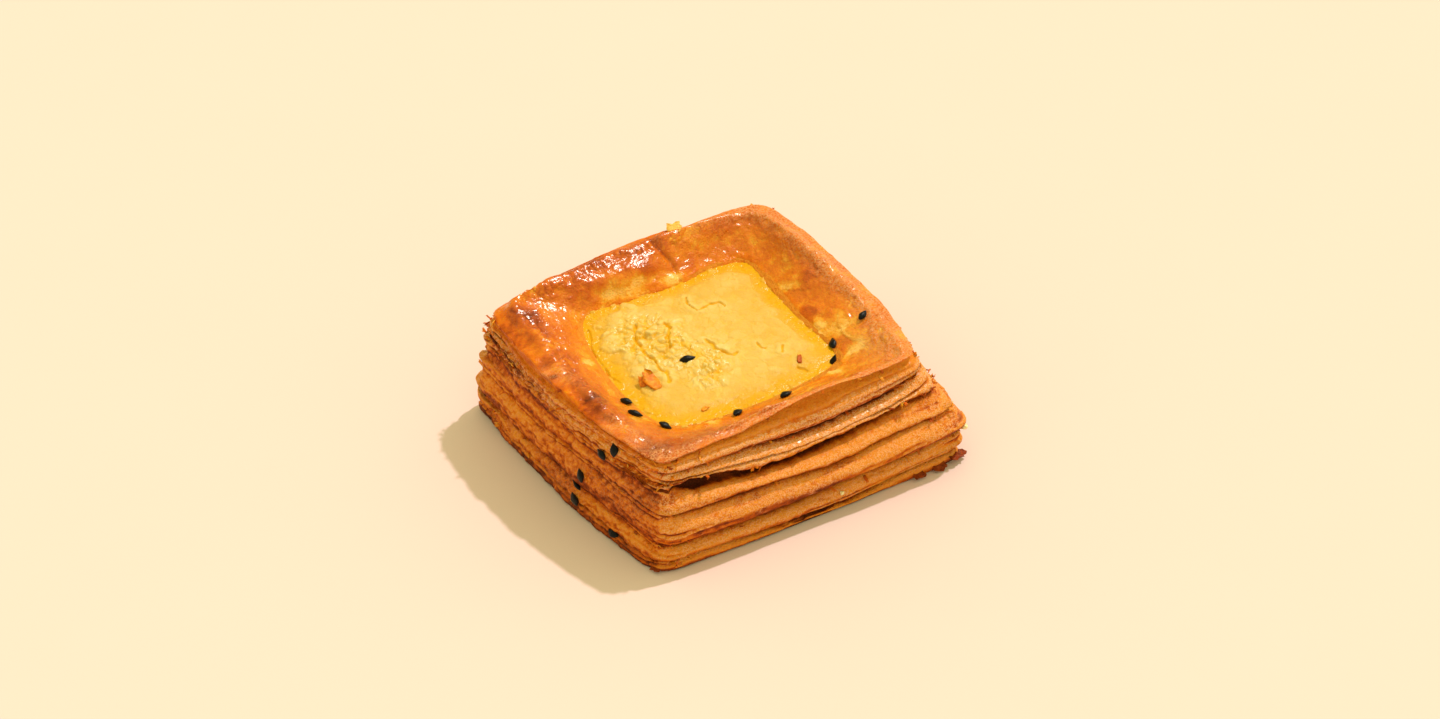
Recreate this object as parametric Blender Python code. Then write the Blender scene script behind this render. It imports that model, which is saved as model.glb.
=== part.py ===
"""A square danish pastry: a laminated dough base with a puffed frame and a well, and the baked filling in the well.

+Z is up, +X and +Y lie along the sides, and the origin is the middle of the underside.
Every outline runs once round the pastry as "turn", from 0 to 4: the front-left corner is 0, the front-right corner 1,
the back-right corner 2 and the back-left corner 3. The front faces -Y.
"""

import math

import bmesh
import bpy
import numpy as np
from mathutils import Matrix, Vector
from mathutils.bvhtree import BVHTree

MM = 0.001

# Finish, as linear colour, roughness
CRUST_COLOUR = (0.55, 0.20, 0.035, 1.0)
FILLING_COLOUR = (0.86, 0.52, 0.09, 1.0)
CRUST_ROUGHNESS = 0.5
FILLING_ROUGHNESS = 0.4

# How finely the outlines are cut
CRUST_POINTS = 96
FILLING_POINTS = 48
CORNER_CROWDING = 0.72
WELD = 0.02
SHARP_ANGLE = 42

# Plan of the dough at four levels: (x, y) of the front-left, front-right, back-right and back-left corners,
# then how far the middle of the front, right, back and left side stands out past the line between its corners
FOOT_PLAN = (((-46.4, -42.6), (51.8, -45.9), (49.0, 46.5), (-49.4, 47.2)), (1.6, 1.0, 1.5, 4.2))
BLOCK_PLAN = (((-46.4, -44.4), (52.2, -48.0), (50.2, 46.6), (-52.2, 48.0)), (1.0, 1.2, 1.2, 2.4))
FRAME_PLAN = (((-43.5, -39.6), (44.6, -39.6), (46.0, 46.0), (-49.0, 46.2)), (0.4, 3.2, 1.2, 4.0))
LIP_PLAN = (((-42.0, -37.6), (39.6, -37.6), (42.0, 42.8), (-46.8, 44.4)), (0.4, 5.8, 2.6, 4.6))
CREST_PLAN = (((-39.6, -36.0), (37.4, -36.2), (37.6, 39.8), (-42.0, 41.0)), (0.2, 4.2, 1.8, 4.0))
SHELF_PLAN = (((-36.2, -31.2), (32.8, -31.0), (34.6, 37.6), (-31.5, 38.4)), (1.2, 0.4, 0.2, 3.4))
WELL_PLAN = (((-31.4, -22.6), (27.4, -22.2), (30.6, 34.0), (-24.4, 35.2)), (3.6, -2.2, -2.0, 4.2))
LEVEL_HEIGHTS = (0.0, 13.5, 26.0, 34.5)
CORNER_SHARPNESS = 22
WELL_SHARPNESS = 9

# Heights at eight stations: each corner and each middle, from the front-left corner on
SEAM_HEIGHTS = {
    "foot": (6.0, 2.6, 6.0, 3.4, 5.4, 3.0, 4.2, 3.6),
    "lower": (11.6, 9.2, 12.2, 8.6, 10.0, 9.4, 7.0, 9.0),
    "middle": (20.6, 17.6, 19.2, 17.2, 18.6, 17.0, 18.0, 17.4),
    "overhang": (26.2, 22.6, 24.4, 24.6, 25.2, 23.6, 25.0, 25.6),
    "frame": (29.0, 26.2, 30.2, 29.0, 31.4, 28.6, 29.2, 29.6),
    "gap": (31.6, 32.6, 33.2, 32.6, 35.4, 33.0, 31.4, 31.8),
}
LIP_HEIGHTS = (32.4, 35.8, 34.9, 34.8, 36.4, 36.8, 34.2, 33.8)
CREST_HEIGHTS = (33.3, 36.0, 35.6, 36.8, 38.2, 39.2, 36.6, 35.4)
SHELF_HEIGHTS = (32.6, 33.9, 33.8, 33.4, 34.2, 33.8, 33.4, 33.4)

# How deep each seam cuts at its deepest, and how much of that shows at each station
SEAM_DEPTHS = {"foot": 3.2, "lower": 4.4, "middle": 4.2, "overhang": 8.0, "frame": 2.8, "gap": 3.6}
SEAM_SHARES = {
    "foot": (0.30, 1.00, 1.05, 0.85, 0.40, 0.95, 0.40, 0.50),
    "lower": (0.50, 1.00, 0.55, 0.85, 0.40, 0.95, 0.60, 0.75),
    "middle": (0.35, 1.00, 0.55, 0.85, 0.40, 0.95, 0.45, 0.25),
    "overhang": (0.20, 1.00, 0.50, 0.65, 0.30, 0.75, 0.35, 0.15),
    "frame": (0.40, 1.00, 0.55, 0.70, 0.40, 0.80, 0.45, 0.35),
    "gap": (0.15, 1.00, 0.35, 0.45, 0.20, 0.80, 0.20, 0.30),
}

# Ripple of the layers along a side: waves per side length and height
RIPPLES = ((0.75, 0.50), (1.50, 0.42), (2.75, 0.26))
# How far a layer swells out past its edges, where its seams are deepest and, as a share of that, where they are shut
LAYER_SWELL = 2.0
SHUT_SWELL = 0.3
LIP_THICK = 0.9

# Cross-sections of the layers: (share of the layer's height, set back as a share of its swell)
ROLL = ((0.12, 0.75), (0.50, 0.0), (0.88, 0.75))
BLOCK_SHOULDER = ((0.10, 0.6), (0.40, 0.0), (0.70, 0.9))
FRAME_SOLE = ((0.55, 0.0), (0.87, 0.5))
UNDER_SKIN = ((0.14, 0.5), (0.50, 0.0), (0.90, 0.9))
# The undercut between block and frame: (height past its root, share of its depth)
UNDERCUT = ((-0.9, 0.42), (0.0, 1.0), (0.5, 0.35))
UNDERCUT_ROOF = 0.9
# The foot: (height, set back)
FOOT_ROUNDING = ((0.0, 9.0), (0.0, 0.9), (0.6, 0.2))
FOOT_LAYER = ((0.65, 0.2),)
# The gap under the skin is deepest this share of the way up to the lip
GAP_MIDDLE = 0.35
# Over the lip the skin turns in towards the crest
LIP_EDGE = 0.6
LIP_TURN = 0.45
CREST_EASE = 0.4
# Down the inner slope: how far it falls halfway to the shelf, and past the shelf
SLOPE_FALL = 1.0
SHELF_FALL = 1.2

# Well and filling
FILLING_TOP = 29.0
FILLING_DOME = 0.7
FILLING_SWAY = 0.25
FILLING_SHARPNESS = 6
# The filling's wall ends this far below the well's edge, in a low bead: (inset from the edge, height over the top)
FILLING_EDGE_DROP = 1.2
FILLING_BEAD = ((0.9, 0.5), (2.6, -0.1))
# Insets of the rings across its top, and the inset of its middle
FILLING_STEPS = (7.0, 12.0, 17.0, 22.0)
FILLING_REACH = 28.0
WELL_EDGE_HEIGHT = 29.6
WELL_FLOOR = 19.0
WELL_DRAFT = 3.0
FIT_GAP = 0.4

# Black seeds and browned flakes: length, width and height of a seed, and its share that is sunk
SEED_SIZE = (3.3, 1.9, 1.2)
SEED_SUNK = 0.25
SEED_TAPER = 0.45
FLAKE_THICK = 0.9
# Height of a flake's two ends over the surface, as shares of its length
FLAKE_DIP, FLAKE_RISE = -0.10, 0.30
# On the dough: (x, y, yaw in degrees), seen from above
CRUST_TOP_SEEDS = ((27.6, -15.4, 70), (26.8, -21.8, 15), (37.8, -14.6, 25), (3.4, -28.4, 15),
                   (-11.4, -27.0, 25), (-31.2, -21.4, -60), (-35.4, -13.0, -50), (-33.8, -6.2, -62))
# On the left side: (y, height, roll in degrees)
CRUST_SIDE_SEEDS = ((-17.4, 25.6, 80), (-21.2, 29.0, 25), (-6.8, 8.8, 60), (-8.0, 5.2, 20), (-23.8, 2.7, 100),
                    (-10.5, 14.7, 40))
# On the filling
FILLING_SEEDS = ((-10.1, 0.0, -30),)
# Flakes on the filling, with their length
FILLING_FLAKES = ((-24.0, -1.4, -40, 6.0), (15.6, -16.4, 30, 3.0), (-20.0, -16.4, 100, 2.4))


def clear_scene():
    for obj in list(bpy.data.objects):
        bpy.data.objects.remove(obj, do_unlink=True)


def material(name, colour, roughness):
    made = bpy.data.materials.new(name)
    made.use_nodes = True
    shader = made.node_tree.nodes["Principled BSDF"]
    shader.inputs["Base Color"].default_value = colour
    shader.inputs["Roughness"].default_value = roughness
    return made


def turns(count):
    """Points round an outline, closer together near the corners."""
    steps = np.arange(count) * 4 / count
    side = np.floor(steps)
    along = 2 * (steps - side) - 1
    crowded = (1 - CORNER_CROWDING) * along + CORNER_CROWDING * np.sin(along * math.pi / 2)
    return side + (crowded + 1) / 2


def around(values, turn):
    """A smooth closed curve through the values at the eight stations (Catmull-Rom)."""
    values = np.asarray(values, float)
    place = np.asarray(turn) * 2
    start = np.floor(place).astype(int)
    t = place - start
    a, b, c, d = (values[(start + k) % 8] for k in (-1, 0, 1, 2))
    return 0.5 * (2 * b + (c - a) * t + (2 * a - 5 * b + 4 * c - d) * t**2 + (3 * b - 3 * c + d - a) * t**3)


def unit_square(turn, sharpness):
    """The outline as a rounded square from -1 to 1: X and Y."""
    side = np.floor(turn).astype(int) % 4
    along = 2 * (turn - np.floor(turn)) - 1
    x = np.choose(side, [along, 1.0, -along, -1.0])
    y = np.choose(side, [-1.0, along, 1.0, -along])
    reach = (np.abs(x) ** sharpness + np.abs(y) ** sharpness) ** (-1 / sharpness)
    return x * reach, y * reach


def plan_point(plan, x, y):
    """Where (x, y) of the unit square lies in a plan: its corners, then its bulging sides."""
    corners, bulges = plan
    (a, b, c, d), (front, right, back, left) = np.asarray(corners, float), bulges
    u, v = (x + 1) / 2, (y + 1) / 2
    weights = ((1 - u) * (1 - v), u * (1 - v), u * v, (1 - u) * v)
    px = sum(w * p[0] for w, p in zip(weights, (a, b, c, d)))
    py = sum(w * p[1] for w, p in zip(weights, (a, b, c, d)))
    px = px + (right * u**2 - left * (1 - u) ** 2) * (1 - y**2)
    py = py + (back * v**2 - front * (1 - v) ** 2) * (1 - x**2)
    return px, py


def outward(x, y):
    """The direction out of the pastry, which turns smoothly round a corner."""
    ox, oy = np.sign(x) * np.abs(x) ** 5, np.sign(y) * np.abs(y) ** 5
    length = np.hypot(ox, oy)
    return ox / length, oy / length


def ripple(turn, phase):
    return sum(high * np.sin(2 * math.pi * waves * turn + phase * (1 + waves)) for waves, high in RIPPLES)


def wall_ring(turn, height, offset):
    """A ring of the side wall: its plan follows from its height, and offset moves it outwards."""
    x, y = unit_square(turn, CORNER_SHARPNESS)
    plans = [plan_point(plan, x, y) for plan in (FOOT_PLAN, BLOCK_PLAN, FRAME_PLAN, LIP_PLAN)]
    height = np.asarray(height) + 0 * turn
    px, py = np.empty_like(turn), np.empty_like(turn)
    for i, z in enumerate(height):
        px[i] = np.interp(z, LEVEL_HEIGHTS, [p[0][i] for p in plans])
        py[i] = np.interp(z, LEVEL_HEIGHTS, [p[1][i] for p in plans])
    ox, oy = outward(x, y)
    return np.stack([px + ox * offset, py + oy * offset, height], -1)


def top_ring(turn, plan, height, sharpness=CORNER_SHARPNESS):
    x, y = unit_square(turn, sharpness)
    px, py = plan_point(plan, x, y)
    return np.stack([px, py, np.asarray(height) + 0 * turn], -1)


def layer_rings(turn, low, high, section, low_dip, high_dip):
    """Rings of one swelling layer between the heights low and high: each edge is set back by its own seam's dip."""
    return [wall_ring(turn, low + (high - low) * share, -back * (low_dip if share < 0.5 else high_dip))
            for share, back in section]


def crust_rings():
    """Every ring of the dough, from the middle of the underside, up the layered side, over the rim and into the well."""
    turn = turns(CRUST_POINTS)
    seam, depth, dip = {}, {}, {}
    for phase, (name, heights) in enumerate(SEAM_HEIGHTS.items()):
        shares = around(SEAM_SHARES[name], turn)
        seam[name] = around(heights, turn) + ripple(turn, phase)
        depth[name] = SEAM_DEPTHS[name] * shares
        dip[name] = LAYER_SWELL * (SHUT_SWELL + (1 - SHUT_SWELL) * shares)
    lip = np.maximum(around(LIP_HEIGHTS, turn) + ripple(turn, 6), seam["gap"] + LIP_THICK)
    crest = around(CREST_HEIGHTS, turn) + ripple(turn, 7)
    shelf = around(SHELF_HEIGHTS, turn) + ripple(turn, 8)

    def layer(low, high, section):
        return layer_rings(turn, seam[low], seam[high], section, dip[low], dip[high])

    def seam_ring(name):
        return wall_ring(turn, seam[name], -depth[name])

    # The underside and the foot layer
    rings = [wall_ring(turn, height, -back) for height, back in FOOT_ROUNDING]
    rings += layer_rings(turn, 0.0, seam["foot"], FOOT_LAYER, dip["foot"], dip["foot"])
    rings.append(seam_ring("foot"))
    # Three thick rolls make the block
    rings += layer("foot", "lower", ROLL)
    rings.append(seam_ring("lower"))
    rings += layer("lower", "middle", ROLL)
    rings.append(seam_ring("middle"))
    rings += layer("middle", "overhang", BLOCK_SHOULDER)
    # The undercut between the block and the frame
    for past, share in UNDERCUT:
        rings.append(wall_ring(turn, seam["overhang"] + past, -share * depth["overhang"]))
    rings.append(wall_ring(turn, seam["overhang"] + UNDERCUT_ROOF, -0.5 * dip["overhang"]))
    # Two thinner layers and the open gap under the skin
    rings += layer("overhang", "frame", FRAME_SOLE)
    rings.append(seam_ring("frame"))
    rings += layer("frame", "gap", UNDER_SKIN)
    rings.append(wall_ring(turn, seam["gap"] + GAP_MIDDLE * (lip - seam["gap"]), -depth["gap"]))
    rings.append(wall_ring(turn, lip - LIP_EDGE, -0.1 * depth["gap"] - 0.3))
    rings.append(wall_ring(turn, lip, 0.1))
    # Over the skin, down the inner slope and into the well
    outer = wall_ring(turn, lip + LIP_EDGE, -1.0)
    inner = top_ring(turn, CREST_PLAN, crest - CREST_EASE)
    rings.append((1 - LIP_TURN) * outer + LIP_TURN * inner)
    rings.append(top_ring(turn, CREST_PLAN, crest))
    rings.append((top_ring(turn, CREST_PLAN, crest - SLOPE_FALL) + top_ring(turn, SHELF_PLAN, shelf)) / 2)
    rings.append(top_ring(turn, SHELF_PLAN, shelf - SHELF_FALL, WELL_SHARPNESS))
    rings.append(top_ring(turn, WELL_PLAN, WELL_EDGE_HEIGHT, WELL_SHARPNESS))
    rings.append(well_floor_ring(turn, 0.0))
    return rings


def inset_plan(plan, inset):
    corners, bulges = plan
    signs = ((1, 1), (-1, 1), (-1, -1), (1, -1))
    return tuple((x + inset * sx, y + inset * sy) for (x, y), (sx, sy) in zip(corners, signs)), bulges


def well_floor_ring(turn, gap):
    """The foot of the well's drafted wall, or of the filling's where it stands a gap clear of it."""
    return top_ring(turn, inset_plan(WELL_PLAN, WELL_DRAFT + gap), WELL_FLOOR + gap, WELL_SHARPNESS)


def filling_rings():
    """Every ring of the filling, from the middle of its underside to the middle of its domed top."""
    turn = turns(FILLING_POINTS)
    edge = inset_plan(WELL_PLAN, FIT_GAP)
    rings = [well_floor_ring(turn, FIT_GAP), top_ring(turn, edge, WELL_EDGE_HEIGHT - FILLING_EDGE_DROP, WELL_SHARPNESS)]
    for inset, rise in FILLING_BEAD:
        rings.append(top_ring(turn, inset_plan(edge, inset), FILLING_TOP + rise, WELL_SHARPNESS))
    for inset in FILLING_STEPS:
        dome = FILLING_DOME * math.sin(inset / FILLING_REACH * math.pi / 2)
        sway = FILLING_SWAY * np.sin(2 * math.pi * turn + inset)
        rings.append(top_ring(turn, inset_plan(edge, inset), FILLING_TOP + dome + sway, FILLING_SHARPNESS))
    return rings


def loft(name, rings, floor_height=None, roof_height=None):
    """A closed solid through the rings, closed by a fan at each end. Its points are millimetres until here."""
    mesh = bpy.data.meshes.new(name)
    bm = bmesh.new()
    rows = [[bm.verts.new(Vector(point) * MM) for point in ring] for ring in rings]
    count = len(rows[0])
    for low, high in zip(rows, rows[1:]):
        for i in range(count):
            j = (i + 1) % count
            bm.faces.new((low[i], low[j], high[j], high[i]))
    for row, ring, height, upward in ((rows[0], rings[0], floor_height, False), (rows[-1], rings[-1], roof_height, True)):
        middle = np.mean(ring, axis=0)
        if height is not None:
            middle[2] = height
        hub = bm.verts.new(Vector(middle) * MM)
        for i in range(count):
            pair = (row[i], row[(i + 1) % count])
            bm.faces.new((*pair, hub) if upward else (*reversed(pair), hub))
    bmesh.ops.recalc_face_normals(bm, faces=bm.faces)
    bm.to_mesh(mesh)
    bm.free()
    obj = bpy.data.objects.new(name, mesh)
    bpy.context.scene.collection.objects.link(obj)
    return obj


def surface_below(tree, x, y):
    """The point and normal of the top surface straight under (x, y), in millimetres."""
    point, normal, _, _ = tree.ray_cast(Vector((x, y, 100)) * MM, Vector((0, 0, -1)))
    return point, normal


def surface_from_left(tree, y, z):
    point, normal, _, _ = tree.ray_cast(Vector((-100, y, z)) * MM, Vector((1, 0, 0)))
    return point, normal


def stand_on(point, normal, spin, lift):
    """A matrix that lays a piece's X and Y in the surface, turned by spin degrees, with its middle lifted by lift."""
    up = normal.normalized()
    along = Vector((0, 0, 1)) if abs(up.z) < 0.6 else Vector((1, 0, 0))
    along = (along - up * along.dot(up)).normalized()
    across = up.cross(along)
    axes = Matrix((along, across, up)).transposed().to_4x4()
    return Matrix.Translation(point + up * lift) @ axes @ Matrix.Rotation(math.radians(spin), 4, "Z")


def seed(name, place):
    """A teardrop seed of about thirty faces, narrow at one end."""
    mesh = bpy.data.meshes.new(name)
    bm = bmesh.new()
    bmesh.ops.create_uvsphere(bm, u_segments=6, v_segments=4, radius=0.5)
    bmesh.ops.rotate(bm, verts=bm.verts, cent=(0, 0, 0), matrix=Matrix.Rotation(math.pi / 2, 3, "Y"))
    for vert in bm.verts:
        slim = 1 - SEED_TAPER * max(0.0, vert.co.x * 2)
        vert.co = Vector((vert.co.x * SEED_SIZE[0], vert.co.y * SEED_SIZE[1] * slim, vert.co.z * SEED_SIZE[2] * slim)) * MM
    bm.to_mesh(mesh)
    bm.free()
    obj = bpy.data.objects.new(name, mesh)
    obj.matrix_world = place
    return obj


def flake(name, place, length):
    """A thin chip that dips into the surface at one end and stands up at the other, as a bent tapered plate."""
    mesh = bpy.data.meshes.new(name)
    bm = bmesh.new()
    bmesh.ops.create_grid(bm, x_segments=4, y_segments=2, size=0.5)
    for vert in bm.verts:
        t = vert.co.x + 0.5
        rise = FLAKE_DIP + (FLAKE_RISE - FLAKE_DIP) * t**2
        vert.co = Vector((vert.co.x, vert.co.y * (0.75 - 0.45 * t), rise)) * length * MM
    skin = bmesh.ops.extrude_face_region(bm, geom=bm.faces[:])
    for vert in (v for v in skin["geom"] if isinstance(v, bmesh.types.BMVert)):
        vert.co.z += FLAKE_THICK * MM
    bmesh.ops.recalc_face_normals(bm, faces=bm.faces)
    bm.to_mesh(mesh)
    bm.free()
    obj = bpy.data.objects.new(name, mesh)
    obj.matrix_world = place
    return obj


def fuse(target, pieces):
    """Joins the small toppings to what they lie on, as one solid, and welds the slivers where they meet."""
    group = bpy.data.collections.new(target.name + "_toppings")
    bpy.context.scene.collection.children.link(group)
    for piece in pieces:
        group.objects.link(piece)
    union = target.modifiers.new("toppings", "BOOLEAN")
    union.operation = "UNION"
    union.operand_type = "COLLECTION"
    union.collection = group
    union.solver = "MANIFOLD"
    bpy.context.view_layer.update()
    graph = bpy.context.evaluated_depsgraph_get()
    joined = bpy.data.meshes.new_from_object(target.evaluated_get(graph))
    target.modifiers.clear()
    bm = bmesh.new()
    bm.from_mesh(joined)
    bmesh.ops.remove_doubles(bm, verts=bm.verts, dist=WELD * MM)
    bmesh.ops.dissolve_degenerate(bm, edges=bm.edges, dist=WELD * MM)
    bm.to_mesh(joined)
    bm.free()
    joined.shade_smooth()
    joined.set_sharp_from_angle(angle=math.radians(SHARP_ANGLE))
    target.data = joined
    for piece in pieces:
        bpy.data.objects.remove(piece, do_unlink=True)
    bpy.data.collections.remove(group)


def tree_of(obj):
    bpy.context.view_layer.update()
    return BVHTree.FromObject(obj, bpy.context.evaluated_depsgraph_get())


def crust_toppings(crust):
    tree = tree_of(crust)
    lift = (0.5 - SEED_SUNK) * SEED_SIZE[2] * MM
    pieces = []
    for x, y, spin in CRUST_TOP_SEEDS:
        point, normal = surface_below(tree, x, y)
        pieces.append(seed(f"seed_{len(pieces)}", stand_on(point, normal, spin, lift)))
    for y, z, spin in CRUST_SIDE_SEEDS:
        point, normal = surface_from_left(tree, y, z)
        pieces.append(seed(f"seed_{len(pieces)}", stand_on(point, normal, spin, lift)))
    return pieces


def filling_toppings(filling):
    tree = tree_of(filling)
    pieces = []
    lift = (0.5 - SEED_SUNK) * SEED_SIZE[2] * MM
    for x, y, spin in FILLING_SEEDS:
        point, normal = surface_below(tree, x, y)
        pieces.append(seed(f"grain_{len(pieces)}", stand_on(point, normal, spin, lift)))
    for x, y, spin, length in FILLING_FLAKES:
        point, normal = surface_below(tree, x, y)
        pieces.append(flake(f"flake_{len(pieces)}", stand_on(point, normal, spin, 0), length))
    return pieces


def centre_on_origin(objects):
    """Moves the meshes so that the underside's middle is the origin."""
    points = np.array([v.co for obj in objects for v in obj.data.vertices])
    low, high = points.min(0), points.max(0)
    shift = Vector((-(low[0] + high[0]) / 2, -(low[1] + high[1]) / 2, -low[2]))
    for obj in objects:
        obj.data.transform(Matrix.Translation(shift))


def main():
    clear_scene()
    crust = loft("pastry", crust_rings(), floor_height=0.0, roof_height=WELL_FLOOR)
    filling = loft("filling", filling_rings(), roof_height=FILLING_TOP + FILLING_DOME)
    fuse(crust, crust_toppings(crust))
    fuse(filling, filling_toppings(filling))
    crust.data.materials.clear()
    filling.data.materials.clear()
    crust.data.materials.append(material("crust", CRUST_COLOUR, CRUST_ROUGHNESS))
    filling.data.materials.append(material("filling", FILLING_COLOUR, FILLING_ROUGHNESS))
    centre_on_origin((crust, filling))
    parts = bpy.data.collections.new("danish_pastry")
    bpy.context.scene.collection.children.link(parts)
    for obj in (crust, filling):
        bpy.context.scene.collection.objects.unlink(obj)
        parts.objects.link(obj)


main()
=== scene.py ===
import itertools
import math

import bpy
import numpy as np
from mathutils import Matrix, Vector
from mathutils.bvhtree import BVHTree


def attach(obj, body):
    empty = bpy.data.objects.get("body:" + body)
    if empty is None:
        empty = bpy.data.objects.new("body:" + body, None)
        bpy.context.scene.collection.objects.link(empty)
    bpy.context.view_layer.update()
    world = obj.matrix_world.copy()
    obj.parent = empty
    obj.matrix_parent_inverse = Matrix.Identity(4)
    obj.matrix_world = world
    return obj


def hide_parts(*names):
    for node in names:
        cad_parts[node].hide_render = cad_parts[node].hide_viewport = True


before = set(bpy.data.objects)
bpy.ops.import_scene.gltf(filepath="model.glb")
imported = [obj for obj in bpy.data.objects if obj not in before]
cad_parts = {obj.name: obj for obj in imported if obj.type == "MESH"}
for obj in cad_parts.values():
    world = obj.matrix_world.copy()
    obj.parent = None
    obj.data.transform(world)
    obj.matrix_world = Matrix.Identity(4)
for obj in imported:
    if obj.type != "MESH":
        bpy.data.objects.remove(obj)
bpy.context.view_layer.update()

# Sizes are millimetres until a mesh is made. +Z is up and the front faces -Y.
# Every outline runs once round the pastry as "turn", from 0 to 4: the front-left corner is 0,
# the front-right corner 1, the back-right corner 2 and the back-left corner 3.
MM = 0.001
# Moves the plans below so that the pastry's middle is the origin, as in the frame
CENTRING = (-0.0322, -0.5144, 0.0)

# Plans of the dough at four levels of its sides, then of its crest, the shelf inside it and the well:
# (x, y) of the four corners, and how far each side's middle bulges
FOOT_PLAN = (((-46.4, -42.6), (51.8, -45.9), (49.0, 46.5), (-49.4, 47.2)), (1.6, 1.0, 1.5, 4.2))
BLOCK_PLAN = (((-46.4, -44.4), (52.2, -48.0), (50.2, 46.6), (-52.2, 48.0)), (1.0, 1.2, 1.2, 2.4))
FRAME_PLAN = (((-43.5, -39.6), (44.6, -39.6), (46.0, 46.0), (-49.0, 46.2)), (0.4, 3.2, 1.2, 4.0))
LIP_PLAN = (((-42.0, -37.6), (39.6, -37.6), (42.0, 42.8), (-46.8, 44.4)), (0.4, 5.8, 2.6, 4.6))
CREST_PLAN = (((-39.6, -36.0), (37.4, -36.2), (38.0, 41.0), (-42.4, 42.4)), (0.2, 4.2, 2.2, 4.0))
SHELF_PLAN = (((-36.2, -31.2), (32.8, -31.0), (34.6, 37.6), (-31.5, 38.4)), (1.2, 0.4, 0.2, 3.4))
WELL_PLAN = (((-31.4, -22.6), (27.4, -22.2), (30.6, 34.0), (-24.4, 35.2)), (3.6, -2.2, -2.0, 4.2))
LEVEL_HEIGHTS = (0.0, 13.5, 26.0, 34.5)
# How square the corners are
CORNER_SHARPNESS, WELL_SHARPNESS = 22, 9

# Heights at eight stations: each corner and each middle, from the front-left corner on
SEAM_HEIGHTS = {
    "foot": (3.2, 1.9, 4.6, 3.4, 5.4, 3.0, 4.2, 3.6),
    "lower": (7.2, 7.8, 10.2, 8.6, 10.0, 9.4, 7.0, 9.0),
    "middle": (17.8, 16.1, 16.6, 17.2, 18.6, 17.0, 18.0, 17.4),
    "overhang": (25.2, 20.2, 23.0, 24.6, 25.2, 23.6, 25.0, 25.6),
    "frame": (29.0, 25.2, 28.4, 29.0, 31.4, 28.6, 29.2, 29.6),
    "gap": (31.8, 34.2, 33.2, 32.6, 35.4, 33.0, 31.4, 31.8),
}
LIP_HEIGHTS = (32.4, 35.8, 34.9, 34.8, 36.4, 36.8, 34.2, 33.8)
CREST_HEIGHTS = (33.3, 36.0, 35.6, 36.8, 38.0, 38.4, 36.4, 35.4)
SHELF_HEIGHTS = (32.6, 33.9, 33.8, 33.4, 34.8, 35.4, 34.2, 33.4)

# How deep each seam cuts at its deepest, and how much of that shows at each station
SEAM_DEPTHS = {"foot": 3.2, "lower": 4.4, "middle": 4.2, "overhang": 8.0, "frame": 3.3, "gap": 3.6}
SEAM_SHARES = {
    "foot": (0.30, 1.00, 1.05, 0.85, 0.40, 0.95, 0.40, 0.50),
    "lower": (0.50, 1.00, 0.55, 0.85, 0.40, 0.95, 0.60, 0.75),
    "middle": (0.35, 1.00, 0.55, 0.85, 0.40, 0.95, 0.45, 0.25),
    "overhang": (0.20, 1.00, 0.50, 0.65, 0.30, 0.75, 0.35, 0.15),
    "frame": (0.40, 1.00, 0.55, 0.70, 0.40, 0.80, 0.45, 0.35),
    "gap": (0.15, 1.00, 0.35, 0.45, 0.20, 0.80, 0.20, 0.30),
}
# Ripples of the edges: (waves to a side of the pastry, height)
RIPPLES = ((0.75, 0.50), (1.50, 0.42), (2.75, 0.26))
# How far a layer swells out where its seams are open, and the share of that where they are shut
LAYER_SWELL, SHUT_SWELL = 2.9, 0.3
LIP_THICK = 0.9
# The seams stay open right up to the front-left corner and are shallower on the left side
FRONT_START_SHARE, LEFT_SHALLOWER = 0.75, 0.5
# Fine lines along the layers: half their width as a share of the layer, the waves in which they come
# and go round the pastry, and the turn over which they start
CUT_HALF, CUT_WAVES, CUT_EASE = 0.06, 11.0, 0.12
# Each line: its share of the layer's height, depth in shares of the swell, first and last turn, set back
LOWER_CUT, FRAME_CUT = (0.34, 0.45, 0.45, 1.02), (0.55, 0.5, -0.1, 4.1)
SKIN_CUTS = (0.40, 0.4, 0.45, 1.9), (0.68, 0.35, 0.62, 1.6, 0.28)
# How pale the outward parts of the sides are painted: partly a dusting, partly painted light on the tops that
# face up
BLOCK_TAN, FRAME_TAN = 0.8, 1.7
# How far each edge wanders up and down in small steps, and how much more the lip does so on the left
RAGGED = {"foot": 0.15, "lower": 0.15, "middle": 0.12, "overhang": 0.28, "frame": 0.15, "gap": 0.2,
          "lip": 0.15}
RAGGED_LEFT = 0.5
# The plain left side begins and ends at these turns, eased from none to all
LEFT_START, LEFT_END = (3.02, 3.06), (3.99, 3.97)
BACK_START = (0.9, 0.99)
# Where the seams at the front open up and close again, and where the undercut does
FRONT_START, FRONT_END = (0.01, 0.03), (0.5, 0.3)
OPEN_START, OPEN_END, OPEN_MOST = (0.0, 0.12), (0.95, 0.4), 0.9
# Noise on the outlines is read from a square of this half size
HALF_SIDE = 48
# The skin is dull towards the front and the right, and shiny towards the back and the left
MATTE = 0.55
# The least height of the foot, and of the layers over it
FOOT_LEAST, LAYER_LEAST = 1.5, 2.2
# The left side gets less of the pale dusting and painted light, and the foot none of it; the foot is painted
# browner up to this height, as shade near the floor
DUST_AND_LIGHT_LEFT, FOOT_SHADE_HEIGHT = 0.35, 5.0

# Cross-sections of the layers: (share of the layer's height, set back as a share of its swell)
ROLL = ((0.05, 0.95), (0.16, 0.50), (0.30, 0.14), (0.45, 0.0), (0.62, 0.12), (0.80, 0.42), (0.94, 0.88))
BLOCK_SHOULDER = ((0.06, 0.85), (0.17, 0.30), (0.34, 0.0))
FOOT_LAYER, FRAME_SOLE = ((0.65, 0.2),), ((0.87, 0.5),)
UNDER_SKIN = ((0.08, 0.6), (0.28, 0.1), (0.92, 0.9))
# The foot: (height, set back)
FOOT_ROUNDING = ((0.0, 0.9), (0.6, 0.2))
# The undercut between block and frame: (height past its root, share of its depth)
UNDERCUT_FLOOR = ((-0.9, 0.42), (-0.45, 0.7))
SHOULDER = (0.72, 0.8)
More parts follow.
